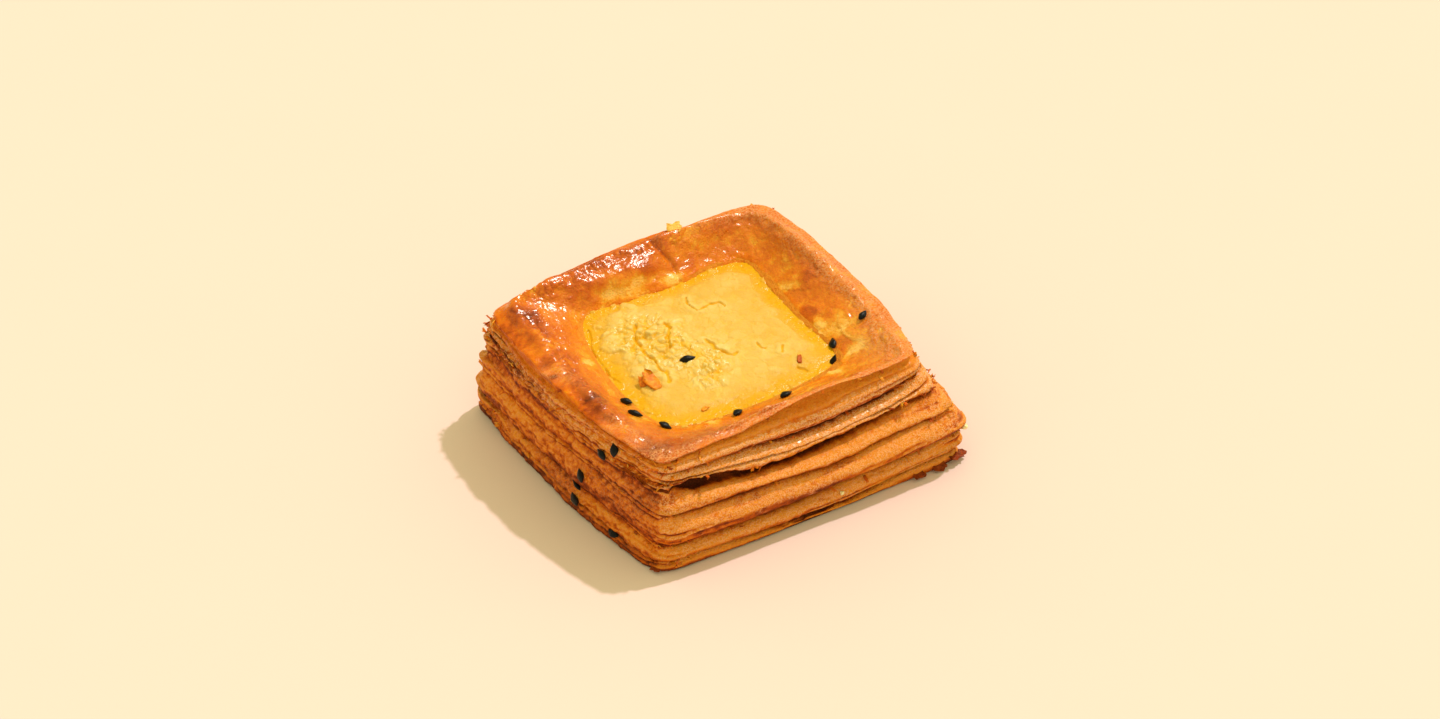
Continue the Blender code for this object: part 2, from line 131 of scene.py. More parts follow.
# Where the undercut is open, a channel runs behind the top roll: (height over the roll's crest, set back)
CHANNEL = ((0.7, 0.9), (0.9, 2.6), (0.8, 5.4))
CREST_SHARE = 0.44
# How far the channel is open at the eight stations
CHANNEL_OPEN = (0.2, 0.4, 0.0, 0.5, 0.2, 0.6, 0.2, 0.0)
# The same for its ceiling, and for its outer end, which is set back by a share of the swell
UNDERCUT_CEILING = (0.5, 0.35)
UNDERCUT_ROOF = (0.9, 0.5)
# The gap under the skin ends this far up between its lower edge and the lip
GAP_MIDDLE = 0.35
# The skin has a ring this far under its lip and another as far over it
LIP_EDGE = 0.6
# The lip stands out by the first number, and the ring over it is set back by the second
LIP_OUT, LIP_BACK = 0.1, 1.0
# The ring under the lip is set back by this share of the gap's depth, and by this much more
UNDER_LIP_SHARE, UNDER_LIP = 0.1, 0.3
# How the skin rounds over: the share of the way from lip to crest, and how far below the crest it aims
LIP_TURN, CREST_EASE = 0.45, 0.4
# The ring halfway to the shelf lies lower by half of the first number, and the shelf's by the second
SLOPE_FALL, SHELF_FALL = 1.0, 1.2

# Well and filling
FILLING_TOP = 29.0
FILLING_DOME = 0.7
WELL_EDGE_HEIGHT = 29.6
WELL_FLOOR = 19.0
WELL_DRAFT = 3.0
FIT_GAP = 0.4
# About half of the filling's width
FILLING_HALF = 28
# The filling clings to the skin's slope this far past the well's edge
FILLING_SPREAD = 0.7
# The skin's slope ends this far inside the well's edge, and this far below the filling's top
SKIN_TUCK, SKIN_TUCK_DROP = 1.2, 0.7
# The dough's wall behind the filling starts this far inside the well's edge
WELL_SIDE_INSET = 1.2

# Puffs and hollows of the skin, seen from above: x, y, half length, half width, turn in degrees,
# height, browning
SKIN_MARKS = (
    (-3.0, 43.0, 10.0, 3.0, 0, 0.5, 0.24),
    (-4.0, 39.0, 8.0, 2.6, 0, 1.3, 0.22),
    (-20.0, 38.6, 6.0, 2.6, -3, 1.3, 0.20),
    (-20.0, 44.0, 9.0, 2.6, -3, 0.5, 0.22),
    (-6.0, 34.8, 9.0, 2.2, 0, -0.5, -0.26),
    (6.8, 38.5, 0.8, 7.5, 8, -1.1, 0.22),
    (15.5, 36.5, 7.0, 3.6, -6, -0.4, 0.06),
    (6.6, 33.0, 3.4, 1.3, 0, 0.3, -0.55),
    (16.0, 41.5, 8.0, 2.0, -8, 0.3, -0.10),
    (20.0, 36.0, 12.0, 5.0, -8, 0.0, 0.02),
    (34.0, 32.5, 6.5, 4.0, -48, -0.9, 0.04),
    (41.0, 21.0, 2.6, 9.0, 0, 0.5, 0.06),
    (36.7, 9.0, 2.4, 3.6, 20, 0.7, 0.20),
    (31.0, -0.5, 2.2, 2.8, 30, 0.8, 0.22),
    (33.8, -11.0, 4.0, 6.0, 0, -0.5, -0.02),
    (-40.5, 34.0, 3.0, 5.5, 12, 0.6, 0.34),
    (-42.0, 23.0, 3.0, 5.5, 5, 0.6, -0.05),
    (-47.0, 8.2, 0.9, 0.9, 0, 0.8, 0.60),
    (-44.2, -7.0, 3.4, 12.0, -3, 0.5, 0.26),
    (-39.0, -31.5, 9.0, 8.0, 0, 0.2, 0.34),
    (-16.0, -33.0, 18.0, 3.5, 0, 0.0, 0.22),
    (-35.0, 4.0, 2.0, 16.0, -8, -0.3, -0.14),
    (-37.5, 22.0, 3.0, 9.0, -4, 0.0, 0.14),
    (38.0, -27.0, 6.0, 7.0, 0, 0.3, -0.06),
)

# Dusty places of the skin, seen from above: x, y, half length, half width, turn in degrees, strength
DUSTY_MARKS = (
    (37.0, -27.0, 7.0, 10.0, 0, 0.8),
    (40.5, 2.0, 3.0, 14.0, 0, 0.6),
    (-16.0, -34.0, 18.0, 2.5, 0, 0.12),
    (-40.0, -26.0, 4.0, 9.0, 0, 0.4),
)

# Cracks in the filling, seen from above: the points that each passes, and half its width
CRACKS = (
    (((4.7, 24.6), (3.5, 21.4), (3.9, 17.4), (5.9, 17.6), (9.2, 18.1), (11.3, 17.6),
      (11.5, 14.9)), 0.42),
    (((-1.1, 4.7), (-0.8, 2.7), (-1.2, -0.3), (0.7, -4.1), (1.2, -5.3), (2.7, -4.8)), 0.50),
    (((9.8, -4.1), (9.5, -7.0), (10.4, -7.5)), 0.34),
    (((15.1, -9.0), (13.2, -11.2)), 0.30),
    (((-14.2, 20.6), (-17.2, 16.2), (-18.7, 7.9), (-18.1, 5.0), (-18.8, 0.9), (-18.0, -1.7),
      (-19.7, -5.3)), 0.42),
    (((-6.7, 17.5), (-6.4, 14.5), (-9.6, 11.5), (-11.5, 7.1)), 0.38),
    (((13.9, -17.9), (15.2, -20.6)), 0.30),
    (((-25.3, 27.3), (-28.5, 21.0), (-30.2, 14.2), (-31.2, 6.5), (-30.6, 1.8)), 0.34),
)
# Where the filling is broken into small blocks: x, y, half length, half width, turn in degrees
GRANULAR = ((-15.0, 15.0, 11.0, 13.0, 0), (-7.0, -7.5, 4.5, 10.0, -40), (-12.0, 4.0, 6.0, 6.0, 0))

# Seeds, as in the CAD model: (x, y, turn in degrees) on top, and (y, z, turn) on the left wall
SEED_SIZE = (4.2, 2.3, 1.6)
SEED_SUNK = 0.15
SEED_TAPER = 0.45
# The seeds differ in size by this much either way
SEED_SPREAD = 0.1
SEED_RINGS, SEED_SIDES = 18, 18
# How blunt a seed's ends are, its lengthwise edges (how many, how high, shift), and its wrinkles' height
SEED_BLUNT, SEED_EDGES, SEED_WRINKLE = 0.62, ((3, 0.10, 1), (7, 0.03, 2)), 0.07
CRUST_TOP_SEEDS = ((27.6, -15.4, 57), (23.9, -21.6, 15), (37.8, -14.6, 25), (3.4, -28.4, 15),
                   (-11.4, -27.0, 25), (-31.2, -21.4, -60), (-35.4, -13.0, -50), (-33.8, -6.2, -62))
CRUST_SIDE_SEEDS = ((-17.4, 25.6, 80), (-21.2, 29.0, 25), (-6.8, 8.8, 60), (-8.0, 5.2, 20), (-23.8, 2.7, 100),
                    (-10.5, 14.7, 40))
FILLING_SEEDS = ((-10.1, 0.0, -30),)

# Chips on the filling: x, y, turn in degrees, length, width, curl, browning
FILLING_CHIPS = ((-23.9, -6.6, 95, 6.2, 3.4, 0.38, 0.22), (-26.8, -3.4, 60, 2.4, 1.8, 0.50, 0.30),
                 (15.2, -17.2, 60, 2.6, 1.2, 0.10, 0.55), (-18.8, -20.6, 10, 2.0, 1.0, 0.20, 0.20))
CHIP_THICK, CHIP_LIFT = 0.5, 0.05
# The flake on the back rim: x, y, turn, length, width, lean in degrees, browning
STANDING_FLAKE = (12.8, 43.2, 57, 3.0, 3.6, 20, 0.0)
STANDING_SUNK, STANDING_CURL = 0.9, 0.1
# Shreds of crust: the edge that they hang from, the lowest and highest place past it, and how many
SHRED_BANDS = (("foot", -1.0, 1.0, 70), ("lower", -0.8, 0.8, 60), ("middle", -0.8, 0.8, 60),
               ("overhang", 0.6, 1.8, 110), ("frame", -0.6, 0.8, 80), ("gap", -1.5, -0.6, 40),
               ("lip", -0.8, -0.2, 40))
# The share of the shreds that lie near a corner, and how far round from it
SHREDS_NEAR_CORNERS, CORNER_SPREAD = 0.45, 0.09
# Each shred's curl, lean in degrees and browning lie between these, and its turn is uneven by so many degrees
SHRED_CURLS, SHRED_LEANS, SHRED_BROWNS, SHRED_TURNS = (-0.1, 0.5), (5, 40), (0.1, 0.7), 25
SHRED_SUNK, SHRED_LOWEST = 0.05, 0.5
# Torn ends of the lowest layers that stick out: turn, height, length, width
FLAPS = ((0.83, 1.6, 2.4, 3.2), (0.90, 1.4, 2.6, 3.8), (0.96, 2.2, 3.0, 3.2), (0.99, 1.6, 2.8, 3.0),
         (3.98, 1.2, 1.6, 2.6))
FLAP_SUNK, FLAP_LEAN, FLAP_BROWN, FLAP_CURLS = 0.5, 75, 0.85, (-0.1, 0.3)
# How far outside the wall a search for its surface starts
WALL_CAST = 6.0
SHRED_LENGTH, SHRED_WIDTH, SHRED_THICK = (0.7, 2.2), (0.3, 0.9), 0.14
# Sugar grains on the side: turn, height, size
SUGAR_GRAINS = ((1.0, 11.8, 1.9), (0.57, 6.0, 1.5))
# A grain has the shape of the seed with this number, is turned by so many degrees more than the one before,
# and stands out by this share of its size
GRAIN_SHAPE, GRAIN_TURN, GRAIN_LIFT = 30, 40.0, 0.3

# How finely the meshes are cut
COLUMNS = 880
BLOCK_STEP = 0.52
FRAME_STEP = 0.42
SKIN_STEP = 0.31
FILLING_CELLS = 270
# Shares of the underside's size at which it has a ring
UNDERSIDE_SHARES = (0.02, 0.35, 0.7, 0.93)
# The hidden side of the skin sags this far below a straight line
HIDDEN_SAG = 2.5
# Texture maps: the margin round each tile, the share that hidden rings take at either end of a tile,
# and the corner that hidden points share in a map seen from above
MAP_MARGIN, MAP_HIDDEN, MAP_CORNER = 0.01, 0.05, 0.05
# Relief fades to nothing this close to the hidden edges
RELIEF_FADE = 1.2
# Noise is stretched by these along the layers: for lumps, and for long fissures
LYING, LONG = (0.30, 0.30, 1.0), (0.06, 0.06, 1.0)
# Shares of the frame's height between which its smooth golden lining begins
LINING = (0.74, 0.86)
# How far up the wall each of the thin sheets reaches
SHEET_SIZE = 2.3

# How much each part adds to the side walls' relief in millimetres, to their browning with painted shade, and
# to how far a spot counts as standing out and lit, which makes it paler. Parts that face down, hollows and
# seams are painted darker as shade, and tops that face up paler as painted light. A part whose name starts
# with left, outer or slope counts only there.
WALL_RELIEF = {"lumps": 0.28, "left_lumps": 0.5, "ledge": 0.40, "left_ledge": -0.22, "fissure": -0.22,
               "tips": 1.3, "bubbles": 0.06, "crumb": 0.05, "coarse": 0.12}
WALL_BROWN_AND_SHADE = {"base": 0.10, "down": 0.76, "left_down": -0.30, "patches": 0.22, "mottle": 0.12, "fine": 0.12,
              "fissure": 0.12, "wide": 0.36, "left_wide": -0.24, "crease": 0.22}
WALL_RAISED_AND_LIT = {"base": 0.82, "patches": 0.35, "fine": -0.30, "wide": -0.6, "down": -1.5, "bubbles": 0.3}
# The same for the skin's relief and browning; small hollows of its outer part are painted browner, as shade
SKIN_RELIEF = {"rise": 1.0, "lumps": 0.55, "wrinkles": 0.07, "outer_wrinkles": 0.20, "blisters": 0.08,
               "outer_blisters": 0.24, "grain": 0.09, "knobs": 0.45, "peeled": 0.22}
SKIN_BROWN_AND_SHADE = {"base": 0.20, "tint": 1.0, "outer": 0.12, "patches": 0.10, "outer_wrinkles": 0.10,
              "outer_fine": 0.14, "wide": -0.10, "slope": 0.10, "slope_peeled": -0.14, "knobs": -0.16,
              "left_outer": 0.06, "pale": -0.16}
# The same for the filling's relief, how deep a spot counts as, and how pale its slab is
FILLING_RELIEF = {"lumps": 0.36, "slab": 0.32, "slab_blocks": 1.0, "slab_swell": 0.35, "crack": -0.7,
                  "network": -0.45, "fine_network": -0.22, "clots": 0.35, "grain": 0.04}
FILLING_DEEP = {"crack": 0.9, "network": 0.6, "fine_network": 0.45}
FILLING_PALE = {"base": 0.15, "blocks": 1.6, "lumps": 0.18, "swell": 0.35}


# Noise, as numbers worked out from places in millimetres


def lattice(corner, seed):
    """A fixed random number from 0 to 1 for each whole-numbered point."""
    x, y, z = (corner[..., k].astype(np.int64) for k in range(3))
    mixed = (x * 73856093) ^ (y * 19349663) ^ (z * 83492791) ^ (seed * 40503 * 2971)
    mixed = (mixed ^ (mixed >> 13)) & 0xFFFFFFFF
    mixed = (mixed * 1274126177) & 0xFFFFFFFF
    mixed = ((mixed ^ (mixed >> 16)) * 60493) & 0xFFFFFFFF
    return ((mixed ^ (mixed >> 15)) & 0xFFFFFF) / 0xFFFFFF


def soft_noise(points, size, seed):
    """Noise from -1 to 1 with soft lumps of one size."""
    place = points / size
    base = np.floor(place)
    t = place - base
    t = t * t * (3 - 2 * t)
    total = 0.0
    for corner in itertools.product((0, 1), repeat=3):
        weight = np.prod(np.where(corner, t, 1 - t), axis=-1)
        total = total + weight * lattice(base + corner, seed)
    return 2 * total - 1


def fractal(points, size, octaves, seed):
    """Soft noise with finer and weaker noise on it."""
    return sum(soft_noise(points + 17.3 * k, size / 2**k, seed + k) / 2**k for k in range(octaves))


def cells(points, size, seed):
    """Distances to the nearest and the second nearest of points scattered one to a cube, in cube sides,
    and a random number from 0 to 1 of the nearest."""
    place = points / size
    base = np.floor(place)
    nearest = np.full(points.shape[:-1], 9.0)
    second, number = nearest.copy(), nearest.copy()
    for offset in itertools.product((-1, 0, 1), repeat=3):
        cube = base + offset
        spot = cube + np.stack([lattice(cube, seed + k) for k in range(3)], -1)
        gap = np.linalg.norm(place - spot, axis=-1)
        closer = gap < nearest
        second = np.where(closer, nearest, np.minimum(second, gap))
        number = np.where(closer, lattice(cube, seed + 7), number)
        nearest = np.where(closer, gap, nearest)
    return nearest, second, number


def ease(low, high, value):
    """0 below low, 1 above high and smooth between."""
    t = np.clip((value - low) / (high - low), 0, 1)
    return t * t * (3 - 2 * t)


# Outlines of the pastry, as in the CAD model


def turns(count):
    """Points round an outline, closer together near the corners."""
    steps = np.arange(count) * 4 / count
    side = np.floor(steps)
    along = 2 * (steps - side) - 1
    crowded = 0.5 * along + 0.5 * np.sin(along * math.pi / 2)
    return side + (crowded + 1) / 2


def around(values, turn):
    """A smooth closed curve through the values at the eight stations (Catmull-Rom)."""
    values = np.asarray(values, float)
    place = np.asarray(turn) * 2
    start = np.floor(place).astype(int)
    t = place - start
    a, b, c, d = (values[(start + k) % 8] for k in (-1, 0, 1, 2))
    return 0.5 * (2 * b + (c - a) * t + (2 * a - 5 * b + 4 * c - d) * t**2 + (3 * b - 3 * c + d - a) * t**3)


def unit_square(turn, sharpness):
    """The outline as a rounded square from -1 to 1: X and Y."""
    side = np.floor(turn).astype(int) % 4
    along = 2 * (turn - np.floor(turn)) - 1
    x = np.choose(side, [along, 1.0, -along, -1.0])
    y = np.choose(side, [-1.0, along, 1.0, -along])
    reach = (np.abs(x) ** sharpness + np.abs(y) ** sharpness) ** (-1 / sharpness)
    return x * reach, y * reach


def plan_point(plan, x, y):
    """Where (x, y) of the unit square lies in a plan: its corners, then its bulging sides."""
    corners, (front, right, back, left) = np.asarray(plan[0], float), plan[1]
    u, v = (x + 1) / 2, (y + 1) / 2
    weights = ((1 - u) * (1 - v), u * (1 - v), u * v, (1 - u) * v)
    px = sum(w * p[0] for w, p in zip(weights, corners))
    py = sum(w * p[1] for w, p in zip(weights, corners))
    px = px + (right * u**2 - left * (1 - u) ** 2) * (1 - y**2)
    py = py + (back * v**2 - front * (1 - v) ** 2) * (1 - x**2)
    return px, py


def inset_plan(plan, inset):
    signs = ((1, 1), (-1, 1), (-1, -1), (1, -1))
    return tuple((x + inset * sx, y + inset * sy) for (x, y), (sx, sy) in zip(plan[0], signs)), plan[1]


def ripple(turn, phase):
    return sum(high * np.sin(2 * math.pi * waves * turn + phase * (1 + waves)) for waves, high in RIPPLES)


def wall_ring(turn, height, offset):
    """A ring of the side wall. Its plan follows from its height, and offset moves it outwards."""
    x, y = unit_square(turn, CORNER_SHARPNESS)
    height = np.asarray(height) + 0 * turn
    px, py = 0.0, 0.0
    for level, plan in enumerate((FOOT_PLAN, BLOCK_PLAN, FRAME_PLAN, LIP_PLAN)):
        share = np.interp(height, LEVEL_HEIGHTS, np.eye(4)[level])
        plan_x, plan_y = plan_point(plan, x, y)
        px, py = px + share * plan_x, py + share * plan_y
    ox, oy = np.sign(x) * np.abs(x) ** 5, np.sign(y) * np.abs(y) ** 5
    length = np.hypot(ox, oy)
    return np.stack([px + ox / length * offset, py + oy / length * offset, height, -offset + 0 * turn], -1)


def top_ring(turn, plan, height, sharpness=CORNER_SHARPNESS):
    px, py = plan_point(plan, *unit_square(turn, sharpness))
    return np.stack([px, py, np.asarray(height) + 0 * turn, 0 * turn], -1)


def layer_rings(turn, low, high, section, low_dip, high_dip):
    """Rings of one swelling layer between the heights low and high."""
    return [wall_ring(turn, low + (high - low) * share, -back * (low_dip if share < 0.5 else high_dip))
            for share, back in section]


def refine(rings, step):
    """Adds rings on smooth curves through the given ones, about a step apart.
    Returns them and how far along each is."""
    rings = np.asarray(rings)
    gaps = np.linalg.norm(np.diff(rings[..., :3], axis=0), axis=2).mean(1)
    place = np.concatenate([[0], np.cumsum(gaps)])
    slope = np.gradient(rings, place, axis=0)
    fine, along = [rings[0]], [0.0]
    for k, gap in enumerate(gaps):
        count = max(1, math.ceil(gap / step))
        for t in np.arange(1, count + 1) / count:
            start = (2 * t**3 - 3 * t**2 + 1) * rings[k] + (t**3 - 2 * t**2 + t) * gap * slope[k]
            end = (3 * t**2 - 2 * t**3) * rings[k + 1] + (t**3 - t**2) * gap * slope[k + 1]
            fine.append(start + end)
            along.append(place[k] + t * gap)
    return np.array(fine), np.array(along)


def normals(grid):
    """Directions out of a grid of closed rings."""
    across = np.roll(grid, -1, 1) - np.roll(grid, 1, 1)
    upward = np.gradient(grid, axis=0)
    out = np.cross(across, upward)
    return out / (np.linalg.norm(out, axis=-1, keepdims=True) + 1e-9)


# Meshes


def in_scene(name, data):
    """A new object in the scene."""
    made = bpy.data.objects.new(name, data)
    bpy.context.scene.collection.objects.link(made)
    return made


def read(items, key, width, kind):
    """One number or point of each item of a mesh, in one row."""
    values = np.empty(len(items) * width, kind)
    items.foreach_get(key, values)
    return values


def mesh_object(name, points, faces, values):
    """A mesh from points in millimetres and lists of equal-sided faces, with named values at its points."""
    mesh = bpy.data.meshes.new(name)
    corners = np.concatenate([f.ravel() for f in faces]).astype(np.int32)
    sides = np.concatenate([np.full(len(f), f.shape[1]) for f in faces])
    mesh.vertices.add(len(points))
    mesh.vertices.foreach_set("co", ((points + CENTRING) * MM).astype(np.float32).ravel())
    mesh.loops.add(len(corners))
    mesh.loops.foreach_set("vertex_index", corners)
    mesh.polygons.add(len(sides))
    mesh.polygons.foreach_set("loop_start", (np.cumsum(sides) - sides).astype(np.int32))
    mesh.update(calc_edges=True)
    mesh.validate()
    for key, value in values.items():
        layer = mesh.attributes.new(key, "FLOAT", "POINT")
        layer.data.foreach_set("value", value.astype(np.float32).ravel())
    mesh.shade_smooth()
    return in_scene(name, mesh)


def ring_faces(ring_count, columns, joined):
    """Quads between rings. joined closes the last ring onto the first."""
    ring = np.arange(ring_count if joined else ring_count - 1)[:, None] * columns
    column = np.arange(columns)[None, :]
    after, above = (column + 1) % columns, (ring + columns) % (ring_count * columns)
    return np.stack([ring + column, ring + after, above + after, above + column], -1).reshape(-1, 4)


def fan_faces(first, columns, hub, upward):
    """Triangles from one ring to a hub point."""
    start = np.arange(columns)
    end = (start + 1) % columns
    pair = (start, end) if upward else (end, start)
    return np.stack([first + pair[0], first + pair[1], np.full(columns, hub)], -1)


def write_map(obj, uv):
    """Writes places from 0 to 1 in the texture map, one for each corner of each face."""
    layer = obj.data.uv_layers.new(name="OFBake")
    layer.data.foreach_set("uv", uv.astype(np.float32).ravel())


def flat_map(obj, rings, columns, widths):
    """A texture map of the rings: each side of the pastry is one of four tiles.
    widths gives each ring's place in it."""
    loops = read(obj.data.loops, "vertex_index", 1, np.int32)
    ring, column = np.minimum(loops // columns, rings - 1), loops % columns
    starts = read(obj.data.polygons, "loop_start", 1, np.int32)
    face = np.repeat(np.arange(len(starts)), np.diff(np.append(starts, len(loops))))
    first = starts[face]
    side = column[first] * 4 // columns
    u = (column - side * columns // 4) * 4 / columns
    # The last face of each ring ends at column 0
    u = np.where(u < -1, u + 4, np.where(u > 2, 0, u))
    v = np.where(loops >= rings * columns, 0, widths[ring])
    wraps = (ring[first] == rings - 1) & (ring == 0)
    v = np.where(wraps, 1.0, v)
    inner = 1 - 2 * MAP_MARGIN
    across = side % 2 + MAP_MARGIN + inner * np.clip(u, 0, 1)
    write_map(obj, np.stack([across, side // 2 + MAP_MARGIN + inner * v], -1) / 2)


def top_map(obj, points, top_count):
    """A texture map seen from above. The points after the first top_count are hidden and share a corner."""
    low, high = points[:, :2].min(0), points[:, :2].max(0)
    place = (points[:, :2] - low) / (high - low)
    uv = MAP_CORNER + MAP_MARGIN + (1 - MAP_CORNER - 2 * MAP_MARGIN) * place
    uv[top_count:] = MAP_MARGIN + (MAP_CORNER - MAP_MARGIN) * place[top_count:]
    write_map(obj, uv[read(obj.data.loops, "vertex_index", 1, np.int32)])


# The dough


def crust_outline(turn):
    """Heights, depths and swells of every seam and edge round the dough."""
    x, y = unit_square(turn, CORNER_SHARPNESS)
    line = {"turn": turn, "corner": np.abs(x * y) ** 4, "matte": MATTE * x - MATTE * y,
            "left": ease(*LEFT_START, turn) * ease(*LEFT_END, turn), "back": ease(*BACK_START, y)}
    front_start = ease(*FRONT_START, turn) * ease(*FRONT_END, turn)
    wide = ease(*OPEN_START, turn) * ease(*OPEN_END, turn)
    line["open"] = np.clip(np.maximum(around(CHANNEL_OPEN, turn), OPEN_MOST * wide), 0, 1)
    place = np.stack([HALF_SIDE * x, HALF_SIDE * y, 0 * x], -1)
    floor = FOOT_LEAST
    for phase, (name, heights) in enumerate(SEAM_HEIGHTS.items()):
        shares = around(SEAM_SHARES[name], turn)
        shares = np.maximum(shares, FRONT_START_SHARE * front_start) * (1 - LEFT_SHALLOWER * line["left"])
        ragged = RAGGED[name] * fractal(place, 3.0, 3, 301 + phase)
        line[name] = np.maximum(around(heights, turn) + ripple(turn, phase) + ragged, floor)
        floor = line[name] + LAYER_LEAST
        line[name + "_depth"] = SEAM_DEPTHS[name] * shares
        line[name + "_dip"] = LAYER_SWELL * (SHUT_SWELL + (1 - SHUT_SWELL) * shares)
    ragged = (RAGGED["lip"] + RAGGED_LEFT * line["left"]) * fractal(place, 4.0, 2, 311)
    line["lip"] = np.maximum(around(LIP_HEIGHTS, turn) + ripple(turn, 6) + ragged, line["gap"] + LIP_THICK)
    line["crest"] = around(CREST_HEIGHTS, turn) + ripple(turn, 7)
    line["shelf"] = around(SHELF_HEIGHTS, turn) + ripple(turn, 8)
    return line


def cut(line, share, depth, start, end, back=0.0):
    """Three rings of a section that make a fine line between two turns, depth deep in shares of the swell."""
    turn = line["turn"]
    wave = 0.6 + 0.4 * np.sin(turn * CUT_WAVES + share * 9)
    strength = ease(start, start + CUT_EASE, turn) * ease(end, end - CUT_EASE, turn) * wave
    return (share - CUT_HALF, back), (share, back + depth * strength), (share + CUT_HALF, back)


def layer(line, low, high, section):
    """Rings of the layer between two seams."""
    return layer_rings(line["turn"], line[low], line[high], section, line[low + "_dip"], line[high + "_dip"])


def seam(line, name):
    """The ring at the bottom of a seam."""
    return wall_ring(line["turn"], line[name], -line[name + "_depth"])


def undercut(line, past, share):
    return wall_ring(line["turn"], line["overhang"] + past, -share * line["overhang_depth"])


def channel(line):
    """The rings from the top roll's crest into the undercut: a rounded shoulder, or an open channel."""
    turn, share = line["turn"], line["open"]
    tall = line["overhang"] - line["middle"]
    crest = line["middle"] + CREST_SHARE * tall
    closed = [(line["middle"] + SHOULDER[0] * tall, SHOULDER[1] * line["overhang_dip"])]
    closed += [(line["overhang"] + past, deep * line["overhang_depth"]) for past, deep in UNDERCUT_FLOOR]
    return [wall_ring(turn, height + share * (crest + up - height), -(back + share * (deep - back)))
            for (height, back), (up, deep) in zip(closed, CHANNEL)]


def gap_root(line):
    height = line["gap"] + GAP_MIDDLE * (line["lip"] - line["gap"])
    return wall_ring(line["turn"], height, -line["gap_depth"])


def well_edge(line):
    return top_ring(line["turn"], WELL_PLAN, WELL_EDGE_HEIGHT, WELL_SHARPNESS)


def hollows(grid, out, reach, deep):
    """How far each point lies below the mean of its neighbours, in shares of deep and from -1 to 1:
    positive in hollows, negative on ridges."""
    above = np.concatenate([grid[reach:], np.repeat(grid[-1:], reach, 0)])
    below = np.concatenate([np.repeat(grid[:1], reach, 0), grid[:-reach]])
    mean = (above + below + np.roll(grid, reach, 1) + np.roll(grid, -reach, 1)) / 4
    return np.clip(((mean - grid) * out).sum(-1) / deep, -1, 1)


def blend(weights, parts):
    """The parts, each times its weight, in one sum."""
    return sum(weight * parts[name] for name, weight in weights.items())


def wall_parts(points, along, line):
    """What makes a stretch of side wall uneven, part by part."""
    left, corner = line["left"], line["corner"]
    flat = points * LYING
    rough = np.maximum(0.25 + 0.75 * np.maximum(left, 0.7 * line["back"]), 0.8 * corner)
    warp = fractal(flat, 5.0, 3, 21)
    # Fissures follow the layers: they are where a long stretched noise crosses zero
    crossing = np.abs(fractal(points * LONG, 5.0, 2, 31) + 0.10 * warp)
    fissure = ease(0.06, 0.0, crossing) * (0.1 + 0.9 * rough)
    fissure = fissure * ease(-0.25, 0.25, fractal(points, 8.0, 2, 32)) * (1 - 0.5 * left)
    # Thin sheets that overlap like shingles
    sheet = along[:, None] / SHEET_SIZE + 0.7 * warp
    torn = ease(-0.1, 0.45, fractal(flat, 4.6, 2, 41) + 0.5 * rough - 0.5 + 0.6 * corner)
    ledge = ((sheet % 1.0) ** 2 - 0.3) * torn
    near, _, number = cells(points * (0.7, 0.7, 1.0), 1.7, 51)
    bubbles = ease(0.7, 0.2, near) * (number > 0.5)
    crumb = fractal(points, 1.3, 2, 61)
    coarse = np.maximum(left, 0.6 * line["back"])
    # The sheets' tips stick out at the corners, and most of all at the back-left one
    tips = corner * (lattice(np.stack([np.floor(sheet)] * 3, -1), 62) - 0.5)
    tips = tips * (1 + 3.0 * ease(0.15, 0.0, np.abs(line["turn"] - 3)))
    return {"base": 1.0, "lumps": fractal(flat, 6.0, 3, 11), "left_lumps": left * fractal(points, 7.0, 3, 12),
            "ledge": ledge, "left_ledge": left * ledge, "fissure": fissure, "tips": tips, "bubbles": bubbles,
            "crumb": crumb, "coarse": coarse * (bubbles + crumb), "patches": fractal(flat, 7.0, 3, 71),
            "mottle": fractal(points, 2.4, 2, 73)}


def wall_values(grid, along, line, tan, amber):
    """The relief of a stretch of side wall, as points moved outwards, and values for its material.
    tan says how pale the outward parts are painted, as a dusting and as painted light on tops that face up,
    and amber how smooth and golden its upper end is."""
    points, setback, left = grid[..., :3], grid[..., 3], line["left"]
    lining = amber * ease(*LINING, along / along[-1])[:, None]
    parts = wall_parts(points, along, line)
    shown = ease(0, RELIEF_FADE, np.minimum(along, along[-1] - along))[:, None]
    open_face = (1 - 0.7 * ease(0.9, 3.2, setback)) * (1 - 0.8 * lining)
    moved = points + normals(points) * (blend(WALL_RELIEF, parts) * shown * open_face)[..., None]
    moved[..., 2] = np.maximum(moved[..., 2], 0.0)
    out = normals(moved)
    # Painted shade: hollows, parts that face down and the deep parts of seams (crease) are painted browner
    # and get less of the pale; tops that face up get more of it, as painted light
    fine, wide = hollows(moved, out, 1, 0.05), hollows(moved, out, 3, 0.22)
    down = ease(0.45, -0.35, out[..., 2])
    crease = ease(0.5, 3.4, setback) * (1 - lining)
    parts.update(fine=fine, wide=wide, left_wide=left * wide, down=down, left_down=left * down, crease=crease)
    # Painted shade near the floor: the foot is browner and gets none of the pale
    low = ease(FOOT_SHADE_HEIGHT, 0.3, points[..., 2])
    brown_and_shade = blend(WALL_BROWN_AND_SHADE, parts) * (1 - lining) + 0.12 * lining
    brown_and_shade = brown_and_shade + 0.40 * low + 0.20 * left - 0.08 * amber
    raised_and_lit = blend(WALL_RAISED_AND_LIT, parts)
    dust_and_light = tan * ease(0.15, 0.85, raised_and_lit) * (1 - low) * (1 - (1 - DUST_AND_LIGHT_LEFT) * left)
    return moved, {"brown_and_shade": np.clip(brown_and_shade, 0, 1), "crease": crease, "gloss": amber * ease(0.2, 0.8, raised_and_lit),
                   "dust_and_light": dust_and_light * (1 - crease) * (1 - lining)}


def mark(points, x, y, long, wide, spin):
    """How much of a soft oval spot on the top lies at each point."""
    spin = math.radians(spin)
    dx, dy = points[..., 0] - x, points[..., 1] - y
    along = dx * math.cos(spin) + dy * math.sin(spin)
    across = dy * math.cos(spin) - dx * math.sin(spin)
    return np.exp(-((along / long) ** 2 + (across / wide) ** 2))


